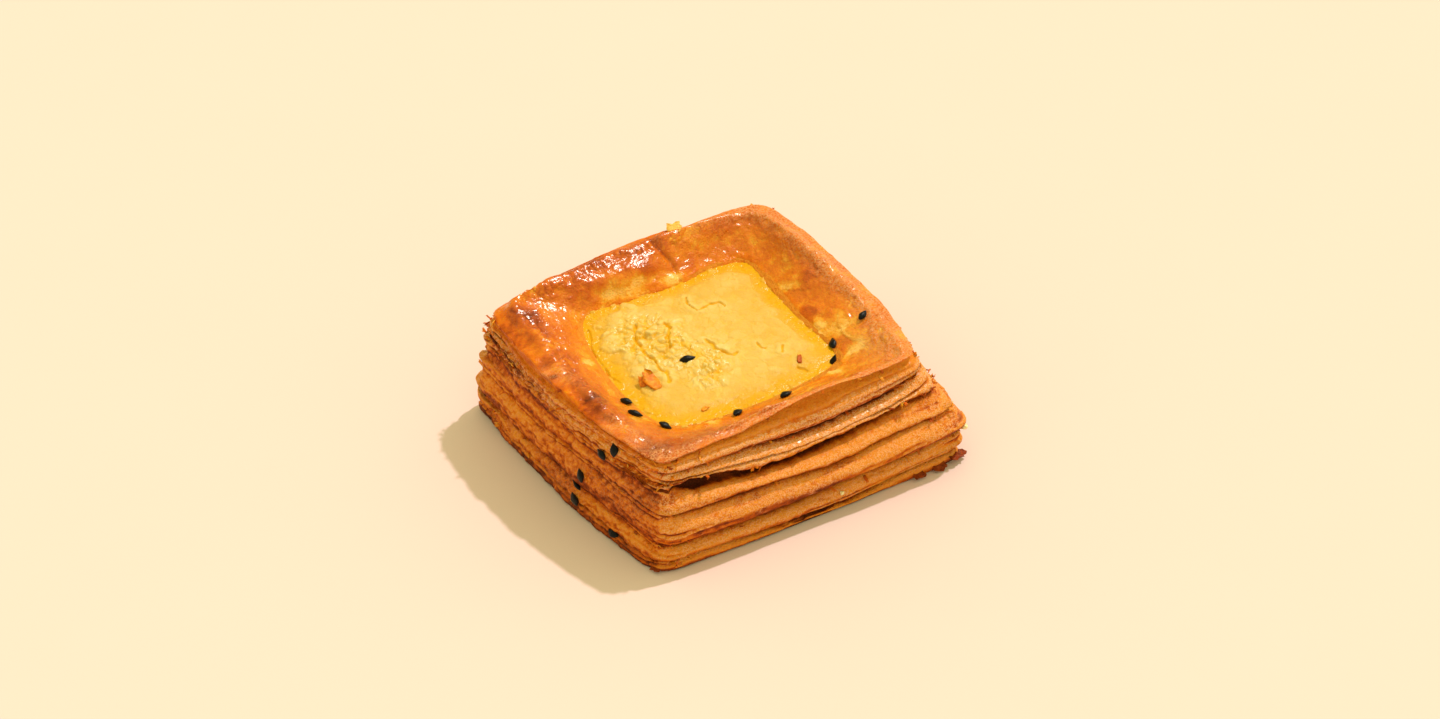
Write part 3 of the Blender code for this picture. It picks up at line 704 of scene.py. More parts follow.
def skin_values(grid, along, line):
    """The top skin's relief, from the gap under its lip to the well's edge, and values for its material."""
    points, setback = grid[..., :3], grid[..., 3]
    left, matte = line["left"], line["matte"]
    inward = (along / along[-1])[:, None] + 0 * setback
    edge = np.minimum(along, along[-1] - along)[:, None]
    shown = ease(0, RELIEF_FADE, edge) * (0.25 + 0.75 * ease(0.16, 0.30, inward))
    outer, slope = ease(0.62, 0.36, inward), ease(0.45, 0.65, inward)
    warped = points + 1.6 * np.stack([fractal(points, 5.0, 2, s) for s in (1, 2, 3)], -1)
    marks = [(mark(warped, *spot), rise, browned_by) for *spot, rise, browned_by in SKIN_MARKS]
    wrinkles = 1 - 2 * np.abs(fractal(points, 3.8, 2, 91))
    near, _, number = cells(warped, 2.3, 101)
    blisters = ease(0.65, 0.1, near) * (number > 0.5)
    # Peeled sheets: flat patches a little higher than the rest, with crisp edges
    peeled = ease(0.0, 0.10, fractal(warped, 5.5, 3, 141) - 0.12) * (0.35 + 0.65 * ease(-0.2, 0.5, matte))
    parts = {"base": 1.0, "rise": sum(rise * share for share, rise, _ in marks),
             "tint": sum(browned_by * share for share, _, browned_by in marks),
             "lumps": fractal(points, 9.0, 2, 81), "grain": fractal(points, 1.1, 2, 111),
             "wrinkles": wrinkles, "outer_wrinkles": outer * wrinkles,
             "blisters": blisters, "outer_blisters": outer * blisters,
             "knobs": left * outer * fractal(warped, 3.0, 2, 161), "peeled": peeled,
             "outer": outer, "left_outer": left * outer, "slope": slope, "slope_peeled": slope * peeled,
             "patches": fractal(points, 6.5, 3, 121),
             "pale": slope * ease(0.0, 0.9, fractal(warped, 4.2, 3, 151) + 0.35 * matte)}
    moved = points + normals(points) * (blend(SKIN_RELIEF, parts) * shown)[..., None]
    out = normals(moved)
    fine = hollows(moved, out, 1, 0.04)
    parts.update(outer_fine=outer * fine, wide=hollows(moved, out, 4, 0.35))
    rim = ease(0.50, 0.20, inward) * ease(-0.65, 0.25, 0.6 * fractal(points, 8.0, 2, 131) + matte)
    dusty = np.clip(rim + sum(strength * mark(warped, *spot) for *spot, strength in DUSTY_MARKS), 0, 1)
    gloss = ease(0.08, 0.3, inward) * (1 - 0.6 * rim) * (1 - 0.8 * ease(0.76, 0.86, inward))
    # Painted shade: the crease darkens the skin deep in the gap under its lip, and small hollows of its outer
    # part are browner and get less of the pale
    return moved, {"brown_and_shade": np.clip(blend(SKIN_BROWN_AND_SHADE, parts), 0, 1), "crease": 0.35 * ease(0.6, 3.0, setback),
                   "gloss": gloss, "dust_and_light": np.clip(dusty * (0.9 - 0.4 * fine), 0, 1)}


def padded_values(values, before, after, columns):
    """Adds rings of zeros for the hidden rings before and after the shown ones."""
    return {key: np.concatenate([np.zeros((before, columns)), value, np.zeros((after, columns))])
            for key, value in values.items()}


def texture_widths(along, before, after):
    """Each ring's place in the texture map: nearly all of it goes to the shown rings."""
    start = np.linspace(0, MAP_HIDDEN, before + 1)[:-1]
    end = np.linspace(1 - MAP_HIDDEN, 1, after + 1)[1:]
    return np.concatenate([start, MAP_HIDDEN + (1 - 2 * MAP_HIDDEN) * along / along[-1], end])


def well_side(line):
    """The hidden ring at the top of the dough's wall behind the filling."""
    plan = inset_plan(WELL_PLAN, WELL_SIDE_INSET)
    return top_ring(line["turn"], plan, line["overhang"], WELL_SHARPNESS)[:, :3]


def closed_piece(name, moved, hidden, along, values):
    """A piece whose rings close through hidden rings inside the pastry."""
    grid = np.concatenate([moved, hidden])
    count, columns = grid.shape[:2]
    made = mesh_object(name, grid.reshape(-1, 3), [ring_faces(count, columns, True)],
                       padded_values(values, 0, len(hidden), columns))
    flat_map(made, count, columns, texture_widths(along, 0, len(hidden)))
    return made


def dough_block(line):
    """The lower stack of layers with its underside, up to the undercut."""
    turn = line["turn"]
    shown = [wall_ring(turn, height, -back) for height, back in FOOT_ROUNDING]
    shown += layer_rings(turn, 0.0, line["foot"], FOOT_LAYER, line["foot_dip"], line["foot_dip"])
    shown.append(seam(line, "foot"))
    shown += layer(line, "foot", "lower", ROLL[:2] + cut(line, *LOWER_CUT) + ROLL[4:])
    shown.append(seam(line, "lower"))
    shown += layer(line, "lower", "middle", ROLL)
    shown.append(seam(line, "middle"))
    shown += layer(line, "middle", "overhang", BLOCK_SHOULDER)
    shown += channel(line)
    shown.append(undercut(line, 0.0, 1.0))
    fine, along = refine(shown, BLOCK_STEP)
    moved, values = wall_values(fine, along, line, BLOCK_TAN, 0.0)
    rim = moved[0]
    hub = rim.mean(0)
    underside = [hub + share * (rim - hub) for share in UNDERSIDE_SHARES]
    well_bottom = top_ring(turn, inset_plan(WELL_PLAN, WELL_DRAFT), WELL_FLOOR, WELL_SHARPNESS)[:, :3]
    grid = np.concatenate([underside, moved, [well_side(line), well_bottom]])
    count, columns = grid.shape[:2]
    values = padded_values(values, len(underside), 2, columns)
    hubs = [hub * (1, 1, 0), well_bottom.mean(0)]
    points = np.concatenate([grid.reshape(-1, 3), hubs])
    faces = [ring_faces(count, columns, False), fan_faces(0, columns, count * columns, False),
             fan_faces((count - 1) * columns, columns, count * columns + 1, True)]
    made = mesh_object("dough_block", points, faces, {k: np.append(v, [0, 0]) for k, v in values.items()})
    flat_map(made, count, columns, texture_widths(along, len(underside), 2))
    return made


def dough_frame(line):
    """The puffed frame over the undercut, up to the open gap under the skin."""
    shown = [undercut(line, 0.0, 1.0), undercut(line, *UNDERCUT_CEILING)]
    roof, back = UNDERCUT_ROOF
    shown.append(wall_ring(line["turn"], line["overhang"] + roof, -back * line["overhang_dip"]))
    shown += layer(line, "overhang", "frame", cut(line, *FRAME_CUT) + FRAME_SOLE)
    shown.append(seam(line, "frame"))
    low_cut, high_cut = (cut(line, *numbers) for numbers in SKIN_CUTS)
    shown += layer(line, "frame", "gap", UNDER_SKIN[:2] + low_cut + high_cut + UNDER_SKIN[2:])
    shown.append(gap_root(line))
    fine, along = refine(shown, FRAME_STEP)
    moved, values = wall_values(fine, along, line, FRAME_TAN, 1.0)
    edge = well_edge(line)[:, :3]
    under = (moved[-1] + edge) / 2 - (0, 0, HIDDEN_SAG)
    return closed_piece("dough_frame", moved, [under, edge, well_side(line)], along, values)


def crust_skin(line):
    """The egg-washed top, from its lip over the crest and down the slope to the filling."""
    turn, crest, shelf = line["turn"], line["crest"], line["shelf"]
    shown = [gap_root(line)]
    under_lip = UNDER_LIP_SHARE * line["gap_depth"] + UNDER_LIP
    shown.append(wall_ring(turn, line["lip"] - LIP_EDGE, -under_lip))
    shown.append(wall_ring(turn, line["lip"], LIP_OUT))
    outer = wall_ring(turn, line["lip"] + LIP_EDGE, -LIP_BACK)
    outer[:, 3] = 0
    inner = top_ring(turn, CREST_PLAN, crest - CREST_EASE)
    shown.append((1 - LIP_TURN) * outer + LIP_TURN * inner)
    shown.append(top_ring(turn, CREST_PLAN, crest))
    shown.append((top_ring(turn, CREST_PLAN, crest - SLOPE_FALL) + top_ring(turn, SHELF_PLAN, shelf)) / 2)
    shown.append(top_ring(turn, SHELF_PLAN, shelf - SHELF_FALL, WELL_SHARPNESS))
    # The slope runs on under the edge of the filling
    tucked = inset_plan(WELL_PLAN, SKIN_TUCK)
    shown.append(top_ring(turn, tucked, FILLING_TOP - SKIN_TUCK_DROP, WELL_SHARPNESS))
    fine, along = refine(shown, SKIN_STEP)
    moved, values = skin_values(fine, along, line)
    under = (moved[0] + moved[-1]) / 2 - (0, 0, HIDDEN_SAG)
    return closed_piece("crust_skin", moved, [under], along, values)


# The filling


def filling():
    """A grid over the filling's top, laid into its outline, with drafted walls and a flat underside."""
    side = FILLING_CELLS + 1
    u, v = np.meshgrid(np.linspace(-1, 1, side), np.linspace(-1, 1, side), indexing="xy")
    far = np.maximum(np.abs(u), np.abs(v))
    reach = (np.abs(u) ** WELL_SHARPNESS + np.abs(v) ** WELL_SHARPNESS) ** (1 / WELL_SHARPNESS)
    round_in = far / np.maximum(reach, 1e-9)
    u, v = u * round_in, v * round_in
    x, y = plan_point(inset_plan(WELL_PLAN, -FILLING_SPREAD), u, v)
    inside = 1 - far
    height = FILLING_TOP + FILLING_DOME * np.sqrt(np.clip(inside * 2, 0, 1))
    points = np.stack([x, y, height], -1)
    relief, values = filling_relief(points, inside * FILLING_HALF)
    points[..., 2] += relief
    index = np.arange(side * side).reshape(side, side)
    quads = np.stack([index[:-1, :-1], index[:-1, 1:], index[1:, 1:], index[1:, :-1]], -1).reshape(-1, 4)
    loop = np.concatenate([index[0, :-1], index[:-1, -1], index[-1, :0:-1], index[:0:-1, 0]])
    top = points.reshape(-1, 3)
    rim = top[loop]
    base_x, base_y = plan_point(inset_plan(WELL_PLAN, WELL_DRAFT + FIT_GAP), u.ravel()[loop], v.ravel()[loop])
    base = np.stack([base_x, base_y, np.full(len(loop), WELL_FLOOR + FIT_GAP)], -1)
    steps = [rim + (base - rim) * t for t in (0.25, 0.5, 0.75, 1.0)]
    points = np.concatenate([top, *steps, [base.mean(0)]])
    faces, lower = [quads], loop
    for k in range(len(steps)):
        upper, lower = lower, len(top) + k * len(loop) + np.arange(len(loop))
        faces.append(np.stack([lower, np.roll(lower, -1), np.roll(upper, -1), upper], -1))
    faces.append(np.stack([np.roll(lower, -1), lower, np.full(len(loop), len(points) - 1)], -1))
    extra = np.zeros(len(points) - len(top))
    made = mesh_object("custard", points, faces, {k: np.append(v, extra) for k, v in values.items()})
    top_map(made, points, len(top))
    return made


def line_distance(points, path):
    """How far each point is from a line through the path, seen from above."""
    nearest = np.full(points.shape[:-1], 99.0)
    path = np.array(path, float)
    for start, end in zip(path[:-1], path[1:]):
        step, offset = end - start, points[..., :2] - start
        share = np.clip((offset @ step) / (step @ step), 0, 1)
        nearest = np.minimum(nearest, np.linalg.norm(offset - share[..., None] * step, axis=-1))
    return nearest


def filling_relief(points, inset):
    """Height over the smooth top, and values for the material. inset is about the distance from the edge."""
    wander = np.stack([fractal(points, 2.6, 3, s) for s in (1, 2, 3)], -1)
    warped = points + 0.3 * wander
    uneven = np.maximum(0.75 + 0.7 * fractal(points, 2.2, 2, 201), 0.2)
    crack, swell = 0 * inset, 0 * inset
    for path, width in CRACKS:
        far = line_distance(warped, path)
        crack = np.maximum(crack, ease(1.9 * width, 0.1 * width, far / uneven))
        swell = np.maximum(swell, ease(2.8, 0.6, far))
    granular = np.clip(sum(mark(points, *spot) for spot in GRANULAR), 0, 1)
    near, second, number = cells(points + 1.3 * wander, 4.2, 141)
    fine_near, fine_second, fine_number = cells(points + 0.8 * wander, 2.5, 151)
    shown = 0.25 + 0.75 * granular
    blocks = shown * (0.80 * (number - 0.5) + 0.60 * (1 - near))
    blocks = blocks + granular * (0.40 * (fine_number - 0.5) + 0.80 * (1 - fine_near))
    # A paler slab stands a little proud of the smooth shiny border
    ragged = inset - 4.4 + 2.6 * fractal(points, 6.0, 3, 171)
    front = ease(-4.0, -16.0, points[..., 1])
    slab = ease(0.0, 0.9 + 2.0 * np.clip(fractal(points, 9.0, 2, 221) + 0.3, 0, 1) + 3.0 * front, ragged)
    border = ease(6.6, 0.8, inset + 1.4 * fractal(points, 4.0, 3, 231))
    clots = ease(0.15, 0.5, fractal(points, 2.0, 2, 181)) * ease(3.4, 1.2, inset)
    parts = {"base": 1.0, "lumps": fractal(points, 8.0, 3, 161), "grain": fractal(points, 1.0, 2, 191),
             "slab": slab, "blocks": blocks, "slab_blocks": slab * blocks, "swell": swell,
             "slab_swell": slab * swell, "crack": crack, "clots": clots,
             "network": ease(0.26, 0.0, second - near) * shown * ease(0.25, 0.6, number),
             "fine_network": ease(0.30, 0.0, fine_second - fine_near) * ease(0.3, 0.8, granular)}
    deep = np.clip(blend(FILLING_DEEP, parts), 0, 1)
    pale = np.clip(blend(FILLING_PALE, parts), 0, 1) * slab * (1 - deep)
    wet = ease(0.15, 0.6, granular) * ease(0.2, 0.5, fine_number)
    border = np.clip(0.75 * border + 0.3 * (1 - slab), 0, 1) * (1 - 0.6 * clots)
    return blend(FILLING_RELIEF, parts), {"border": border, "crack": deep, "wet": wet, "pale": pale}


# Seeds, chips and shreds


def tree_of(*objects):
    """A search tree over the outer faces of the pieces."""
    points, polygons, first = [], [], 0
    for obj in objects:
        places = read(obj.data.vertices, "co", 3, np.float32)
        corners = read(obj.data.loops, "vertex_index", 1, np.int32)
        starts = read(obj.data.polygons, "loop_start", 1, np.int32)
        points += places.reshape(-1, 3).tolist()
        polygons += [(face + first).tolist() for face in np.split(corners, starts[1:])]
        first = len(points)
    return BVHTree.FromPolygons(points, polygons)


def surface(tree, start, direction):
    """The point and the normal of the surface that lies in a direction from a place in millimetres."""
    return tree.ray_cast((Vector(start) + Vector(CENTRING)) * MM, Vector(direction))[:2]


def surface_below(tree, x, y):
    return surface(tree, (x, y, 100), (0, 0, -1))


def surface_from_left(tree, y, z):
    return surface(tree, (-100, y, z), (1, 0, 0))


def stand_on(point, normal, spin, lift):
    """A matrix that lays a piece on the surface, turned by spin degrees and lifted by so many millimetres."""
    up = normal.normalized()
    along = Vector((0, 0, 1)) if abs(up.z) < 0.6 else Vector((1, 0, 0))
    along = (along - up * along.dot(up)).normalized()
    across = up.cross(along)
    axes = Matrix((along, across, up)).transposed().to_4x4()
    return Matrix.Translation(point + up * (lift * MM)) @ axes @ Matrix.Rotation(math.radians(spin), 4, "Z")


def lean(degrees):
    """A matrix that tips a flake's far end up."""
    return Matrix.Rotation(-math.radians(degrees), 4, "Y")


def seed_shape(number):
    """Points and faces of a wrinkled teardrop seed with three soft edges, in metres about its middle."""
    t = ((np.arange(SEED_RINGS) + 0.5) / SEED_RINGS)[:, None]
    angle = np.arange(SEED_SIDES) * 2 * math.pi / SEED_SIDES
    radius = 0.5 * np.sin(math.pi * t) ** SEED_BLUNT * (1 - SEED_TAPER * np.maximum(0, 2 * t - 1))
    edges = 1 + sum(high * np.cos(waves * angle + shift * number) for waves, high, shift in SEED_EDGES)
    reach = radius * edges
    body = np.stack([t - 0.5 + 0 * reach, reach * np.cos(angle), reach * np.sin(angle)], -1) * SEED_SIZE
    wrinkles = SEED_WRINKLE * fractal(body + 9.0 * number, 0.7, 2, 211)[..., None]
    body += body / np.linalg.norm(body, axis=-1, keepdims=True) * wrinkles
    ends = np.array([(-0.5, 0, 0), (0.5, 0, 0)]) * SEED_SIZE
    grown = 1 + SEED_SPREAD * math.sin(2.4 * number)
    points = np.concatenate([body.reshape(-1, 3), ends]) * grown * MM
    count = SEED_RINGS * SEED_SIDES
    faces = [ring_faces(SEED_RINGS, SEED_SIDES, False), fan_faces(0, SEED_SIDES, count, False),
             fan_faces(count - SEED_SIDES, SEED_SIDES, count + 1, True)]
    return points, faces


def flake_shape(length, width, thick, curl, chance):
    """Points and faces of a thin torn sheet, in metres: it lies along X from 0, and its far end curls up."""
    rows, columns = 6, 4
    t, s = np.meshgrid(np.linspace(0, 1, rows), np.linspace(-1, 1, columns), indexing="ij")
    ragged = 1 + 0.35 * (chance.random((rows, columns)) - 0.5)
    x = length * t * ragged
    y = 0.5 * width * s * (0.55 + 0.6 * np.sin(math.pi * (0.15 + 0.7 * t))) * ragged
    z = curl * length * t**2 + 0.12 * width * s**2 + 0.06 * width * (chance.random((rows, columns)) - 0.5)
    upper = np.stack([x, y, z + thick / 2], -1).reshape(-1, 3)
    lower = upper - (0, 0, thick)
    index = np.arange(rows * columns).reshape(rows, columns)
    top = np.stack([index[:-1, :-1], index[1:, :-1], index[1:, 1:], index[:-1, 1:]], -1).reshape(-1, 4)
    rim = np.concatenate([index[:-1, 0], index[-1, :-1], index[:0:-1, -1], index[0, :0:-1]])
    after, below = np.roll(rim, -1), rows * columns
    sides = np.stack([after, rim, rim + below, after + below], -1)
    return np.concatenate([upper, lower]) * MM, [top, top[:, ::-1] + below, sides]


def joined(name, shapes):
    """One mesh object from shapes: (points, faces, matrix, browning)."""
    points, faces, brown_and_shade, first = [], {3: [], 4: []}, [], 0
    for shape_points, shape_faces, place, browned_by in shapes:
        matrix = np.array(place)
        points.append(shape_points @ matrix[:3, :3].T + matrix[:3, 3])
        for group in shape_faces:
            faces[group.shape[1]].append(group + first)
        brown_and_shade.append(np.full(len(shape_points), browned_by))
        first += len(shape_points)
    groups = [np.concatenate(group) for group in faces.values() if group]
    brown_and_shade = np.concatenate(brown_and_shade)
    in_plan = np.concatenate(points) / MM - CENTRING
    return mesh_object(name, in_plan, groups, {"brown_and_shade": brown_and_shade, "crease": 0 * brown_and_shade})


def seeds(dough, custard):
    """All the black seeds, a little sunk in what they lie on."""
    places = [(*surface_below(dough, x, y), spin) for x, y, spin in CRUST_TOP_SEEDS]
    places += [(*surface_from_left(dough, y, z), spin) for y, z, spin in CRUST_SIDE_SEEDS]
    places += [(*surface_below(custard, x, y), spin) for x, y, spin in FILLING_SEEDS]
    lift = (0.5 - SEED_SUNK) * SEED_SIZE[2]
    shapes = [(*seed_shape(number), stand_on(point, normal, spin, lift), 0.0)
              for number, (point, normal, spin) in enumerate(places)]
    return joined("seeds", shapes)


def wall_spot(dough, turn, height):
    """The point and normal of the side wall at a turn and height, found from outside."""
    start, end = (wall_ring(np.array([turn]), height, past)[0, :3] for past in (WALL_CAST, -WALL_CAST))
    return surface(dough, start, Vector(end - start).normalized())


def shreds(dough, line):
    """Small crisp shreds that stand off the edges of the layers, most of them near the corners."""
    chance = np.random.default_rng(5)
    shapes = []
    count = len(line["turn"])
    for name, low, high, amount in SHRED_BANDS:
        for _ in range(amount):
            corner = chance.integers(0, 4)
            if chance.random() < SHREDS_NEAR_CORNERS:
                turn = (corner + chance.normal(0, CORNER_SPREAD)) % 4
            else:
                turn = chance.uniform(0, 4)
            column = int(np.searchsorted(line["turn"], turn)) % count
            height = float(line[name][column]) + chance.uniform(low, high)
            point, normal = wall_spot(dough, turn, max(height, SHRED_LOWEST))
            if point is None:
                continue
            length, width = chance.uniform(*SHRED_LENGTH), chance.uniform(*SHRED_WIDTH)
            shape = flake_shape(length, width, SHRED_THICK, chance.uniform(*SHRED_CURLS), chance)
            spin = 90 * chance.choice((-1, 1)) + chance.normal(0, SHRED_TURNS)
            place = stand_on(point, normal, spin, -SHRED_SUNK) @ lean(chance.uniform(*SHRED_LEANS))
            shapes.append((*shape, place, chance.uniform(*SHRED_BROWNS)))
    for turn, height, length, width in FLAPS:
        place = stand_on(*wall_spot(dough, turn, height), 180, -FLAP_SUNK) @ lean(FLAP_LEAN)
        shape = flake_shape(length, width, SHRED_THICK, chance.uniform(*FLAP_CURLS), chance)
        shapes.append((*shape, place, FLAP_BROWN))
    return shapes


def flakes(dough, custard, line):
    """The browned chips on the filling, the flake on the back rim, and the shreds."""
    chance = np.random.default_rng(3)
    shapes = []
    for x, y, spin, length, width, curl, browned_by in FILLING_CHIPS:
        place = stand_on(*surface_below(custard, x, y), spin, CHIP_LIFT)
        shapes.append((*flake_shape(length, width, CHIP_THICK, curl, chance), place, browned_by))
    x, y, spin, length, width, leaning, browned_by = STANDING_FLAKE
    place = stand_on(surface_below(dough, x, y)[0], Vector((0, 0, 1)), spin, -STANDING_SUNK) @ lean(leaning)
    shapes.append((*flake_shape(length, width, CHIP_THICK, STANDING_CURL, chance), place, browned_by))
    return joined("flakes", shapes + shreds(dough, line))


def grains(dough):
    """Two pale grains of sugar that cling to the side."""
    shapes = []
    for number, (turn, height, size) in enumerate(SUGAR_GRAINS):
        points, faces = seed_shape(number + GRAIN_SHAPE)
        place = stand_on(*wall_spot(dough, turn, height), GRAIN_TURN * number, GRAIN_LIFT * size)
        shapes.append((points / np.array(SEED_SIZE) * size, faces, place, 0.0))
    return joined("grains", shapes)


# Materials

# Crust colours by browning with its painted shade, from 0 to 1
WALL_COLOURS = ((0.0, (0.70, 0.215, 0.018)), (0.25, (0.62, 0.135, 0.002)), (0.5, (0.45, 0.070, 0.001)),
                (0.75, (0.23, 0.033, 0.002)), (1.0, (0.09, 0.012, 0.002)))
SKIN_COLOURS = ((0.0, (0.84, 0.42, 0.10)), (0.12, (0.74, 0.27, 0.012)), (0.25, (0.68, 0.165, 0.001)),
                (0.45, (0.56, 0.098, 0.001)), (0.72, (0.31, 0.042, 0.001)), (1.0, (0.11, 0.014, 0.001)))
# Pale colours for dust on the sides and on the skin; on the sides the same pale is also painted light on tops
# that face up
TAN_CRUMB, DUSTY_SKIN = (0.78, 0.345, 0.175), (0.66, 0.26, 0.115)
# The filling: its slab from deeper to paler, its border and its cracks
SLAB_COLOURS = ((0.61, 0.315, 0.055), (0.66, 0.44, 0.16))
BORDER_YELLOW, CRACK_YELLOW = (0.67, 0.300, 0.001), (0.78, 0.37, 0.004)
SEED_COLOURS = ((0.002, 0.002, 0.003), (0.012, 0.012, 0.017))
SUGAR_COLOURS = ((0.80, 0.50, 0.22), (0.85, 0.72, 0.52))
FLOOR_COLOURS = ((0.69, 0.482, 0.525), (0.70, 0.490, 0.535))
# How far red, green and blue light spreads inside crust
CRUST_GLOW = (1.0, 0.35, 0.08)
# How strongly crust and filling mirror light under their shiny coat
DULL = 0.12
# Seams are painted darker by this much, as shade deep in them, and the pale dusting and painted light cover
# this share where there is most
CREASE_SHADE, DUST_AND_LIGHT_SHARE = 0.25, 0.9


def node(tree, kind, values=None, **settings):
    """A new node. A value that is a socket is linked, and any other is set."""
    made = tree.nodes.new(kind)
    for key, value in settings.items():
        setattr(made, key, value)
    for key, value in (values or {}).items():
        if isinstance(value, bpy.types.NodeSocket):
            tree.links.new(value, made.inputs[key])
        else:
            made.inputs[key].default_value = value
    return made


def scaled(tree, value, factor, plus=0.0, clamp=False):
    """value * factor + plus, each of them a number or a socket. clamp keeps the result from 0 to 1."""
    return node(tree, "ShaderNodeMath", {0: value, 1: factor, 2: plus}, operation="MULTIPLY_ADD",
                use_clamp=clamp).outputs[0]


def attribute(tree, name):
    return node(tree, "ShaderNodeAttribute", attribute_type="GEOMETRY", attribute_name=name).outputs["Fac"]


def noise(tree, place, size, detail=3.0):
    """Noise about 0.5 with lumps of the given size in millimetres."""
    return node(tree, "ShaderNodeTexNoise", {"Vector": place, "Scale": 1 / (size * MM), "Detail": detail,
                                             "Roughness": 0.6}).outputs["Fac"]


def bump(tree, height, strength, depth):
    """A direction made uneven by a height, up to depth in millimetres."""
    return node(tree, "ShaderNodeBump", {"Strength": strength, "Distance": depth * MM,
                                         "Height": height}).outputs[0]


def ramp(tree, value, stops):
    """A colour ramp through (place, colour) stops."""
    made = node(tree, "ShaderNodeValToRGB", {"Fac": value})
    elements = made.color_ramp.elements
    while len(elements) < len(stops):
        elements.new(0.5)
    for element, (place, colour) in zip(elements, stops):
        element.position = place
        element.color = (*colour, 1.0)
    return made.outputs["Color"]


def mix_colour(tree, share, a, b):
    made = node(tree, "ShaderNodeMix", data_type="RGBA", blend_type="MIX")
    for key, value in ((0, share), (6, a), (7, b)):
        if isinstance(value, bpy.types.NodeSocket):
            tree.links.new(value, made.inputs[key])
        else:
            made.inputs[key].default_value = value if key == 0 else (*value, 1.0)
    return made.outputs[2]


def new_material(name, settings):
    """A material with a Principled shader whose plain settings are set on its own sockets."""
    made = bpy.data.materials.new(name)
    made.use_nodes = True
    tree = made.node_tree
    shader = tree.nodes["Principled BSDF"]
    for key, value in settings.items():
        shader.inputs[key].default_value = value
    place = node(tree, "ShaderNodeTexCoord").outputs["Object"]
    return made, tree, shader, place


def glow(weight, radius, reach):
    """Settings for light that spreads below the surface: how much, its colours, and its reach."""
    return {"Subsurface Weight": weight, "Subsurface Radius": radius, "Subsurface Scale": reach * MM}


def wire(tree, made, sources):
    """Links a source to each named input of a node."""
    for key, source in sources.items():
        tree.links.new(source, made.inputs[key])


def browned(tree, share, coarse, fine, colours):
    """Crust colour: each point's browning with its painted shade, made uneven by two noises, and painted
    darker deep in the seams as shade.
    """
    brown_and_shade = scaled(tree, coarse, share, attribute(tree, "brown_and_shade"))
    brown_and_shade = scaled(tree, fine, 0.6 * share, brown_and_shade)
    # Painted shade deep in the seams
    brown_and_shade = scaled(tree, attribute(tree, "crease"), CREASE_SHADE, brown_and_shade)
    # Both noises lie about a half
    return ramp(tree, scaled(tree, brown_and_shade, 1.0, -0.8 * share), colours)


def dusted_and_lit(tree, speckles, colour, dust_and_light):
    """The colour with the pale dusting on it, in speckles and as thick as worked out for each point; on the
    sides this pale is partly painted light on tops that face up.
    """
    share = scaled(tree, attribute(tree, "dust_and_light"), speckles)
    return mix_colour(tree, scaled(tree, share, DUST_AND_LIGHT_SHARE, clamp=True), colour, dust_and_light)


def crumb_material():
    """The layers at the sides: matte, porous, streaked lengthwise, and pale and dusty where they bulge, with
    painted light on tops that face up and painted shade in seams, hollows and parts that face down.
    """
    made, tree, shader, place = new_material("baked_layers", {
        "Roughness": 0.62, "Coat Roughness": 0.3, "Specular IOR Level": DULL, **glow(0.15, CRUST_GLOW, 1.2)})
    stretched = node(tree, "ShaderNodeMapping", {"Vector": place, "Scale": (0.5, 0.5, 1.0)}).outputs[0]
    streaks = noise(tree, stretched, 1.1)
    pores = noise(tree, place, 0.38, 1.0)
    crumbs = noise(tree, place, 1.0, 1.0)
    colour = browned(tree, 0.75, streaks, pores, WALL_COLOURS)
    speckles = scaled(tree, scaled(tree, crumbs, 0.4, pores), 6.0, -3.8, clamp=True)
    glints = scaled(tree, attribute(tree, "gloss"), scaled(tree, crumbs, 5.0, -2.4, clamp=True))
    height = scaled(tree, scaled(tree, streaks, 0.5, crumbs), 1.0, pores)
    wire(tree, shader, {"Base Color": dusted_and_lit(tree, speckles, colour, TAN_CRUMB), "Coat Weight": glints,
                        "Normal": bump(tree, height, 0.8, 0.5)})
    return made


def skin_material():
    """The egg-washed top: glossy, amber on slopes, browned on ridges and dusty at its front and right."""
    made, tree, shader, place = new_material("egg_washed_skin", {
        "Roughness": 0.45, "Coat Roughness": 0.19, "Coat IOR": 1.65, "Specular IOR Level": DULL,
        **glow(0.25, CRUST_GLOW, 1.4)})
    patches = noise(tree, place, 2.2, 4.0)
    specks = noise(tree, place, 0.5, 1.0)
    colour = browned(tree, 0.32, patches, specks, SKIN_COLOURS)
    speckles = scaled(tree, specks, 4.0, -1.4, clamp=True)
    height = scaled(tree, patches, 1.2, scaled(tree, specks, 0.5))
    wire(tree, shader, {"Base Color": dusted_and_lit(tree, speckles, colour, DUSTY_SKIN),
                        "Coat Weight": attribute(tree, "gloss"), "Normal": bump(tree, height, 0.8, 0.6),
                        "Coat Normal": bump(tree, height, 0.45, 0.4)})
    return made


def filling_material():
    """Baked filling: pale and matte in the middle, shiny and deep yellow at the border and in the cracks."""
    made, tree, shader, place = new_material("baked_filling", {
        "Coat Roughness": 0.16, "Specular IOR Level": DULL, **glow(0.25, (1.0, 0.65, 0.15), 1.2)})
    border, pale = attribute(tree, "border"), attribute(tree, "pale")
    mottle = noise(tree, place, 3.0)
    tint = scaled(tree, border, 1.0, scaled(tree, mottle, 0.9, -0.42), clamp=True)
    tint = scaled(tree, tint, scaled(tree, pale, -0.7, 1.0))
    colour = mix_colour(tree, tint, mix_colour(tree, pale, *SLAB_COLOURS), BORDER_YELLOW)
    colour = mix_colour(tree, attribute(tree, "crack"), colour, CRACK_YELLOW)
    shine = scaled(tree, border, 0.6, scaled(tree, attribute(tree, "wet"), 0.7), clamp=True)
    uneven = bump(tree, noise(tree, place, 0.7), 0.45, 0.5)
    wire(tree, shader, {"Base Color": colour, "Roughness": scaled(tree, border, -0.2, 0.5),
                        "Coat Weight": shine, "Normal": uneven, "Coat Normal": uneven})
    return made


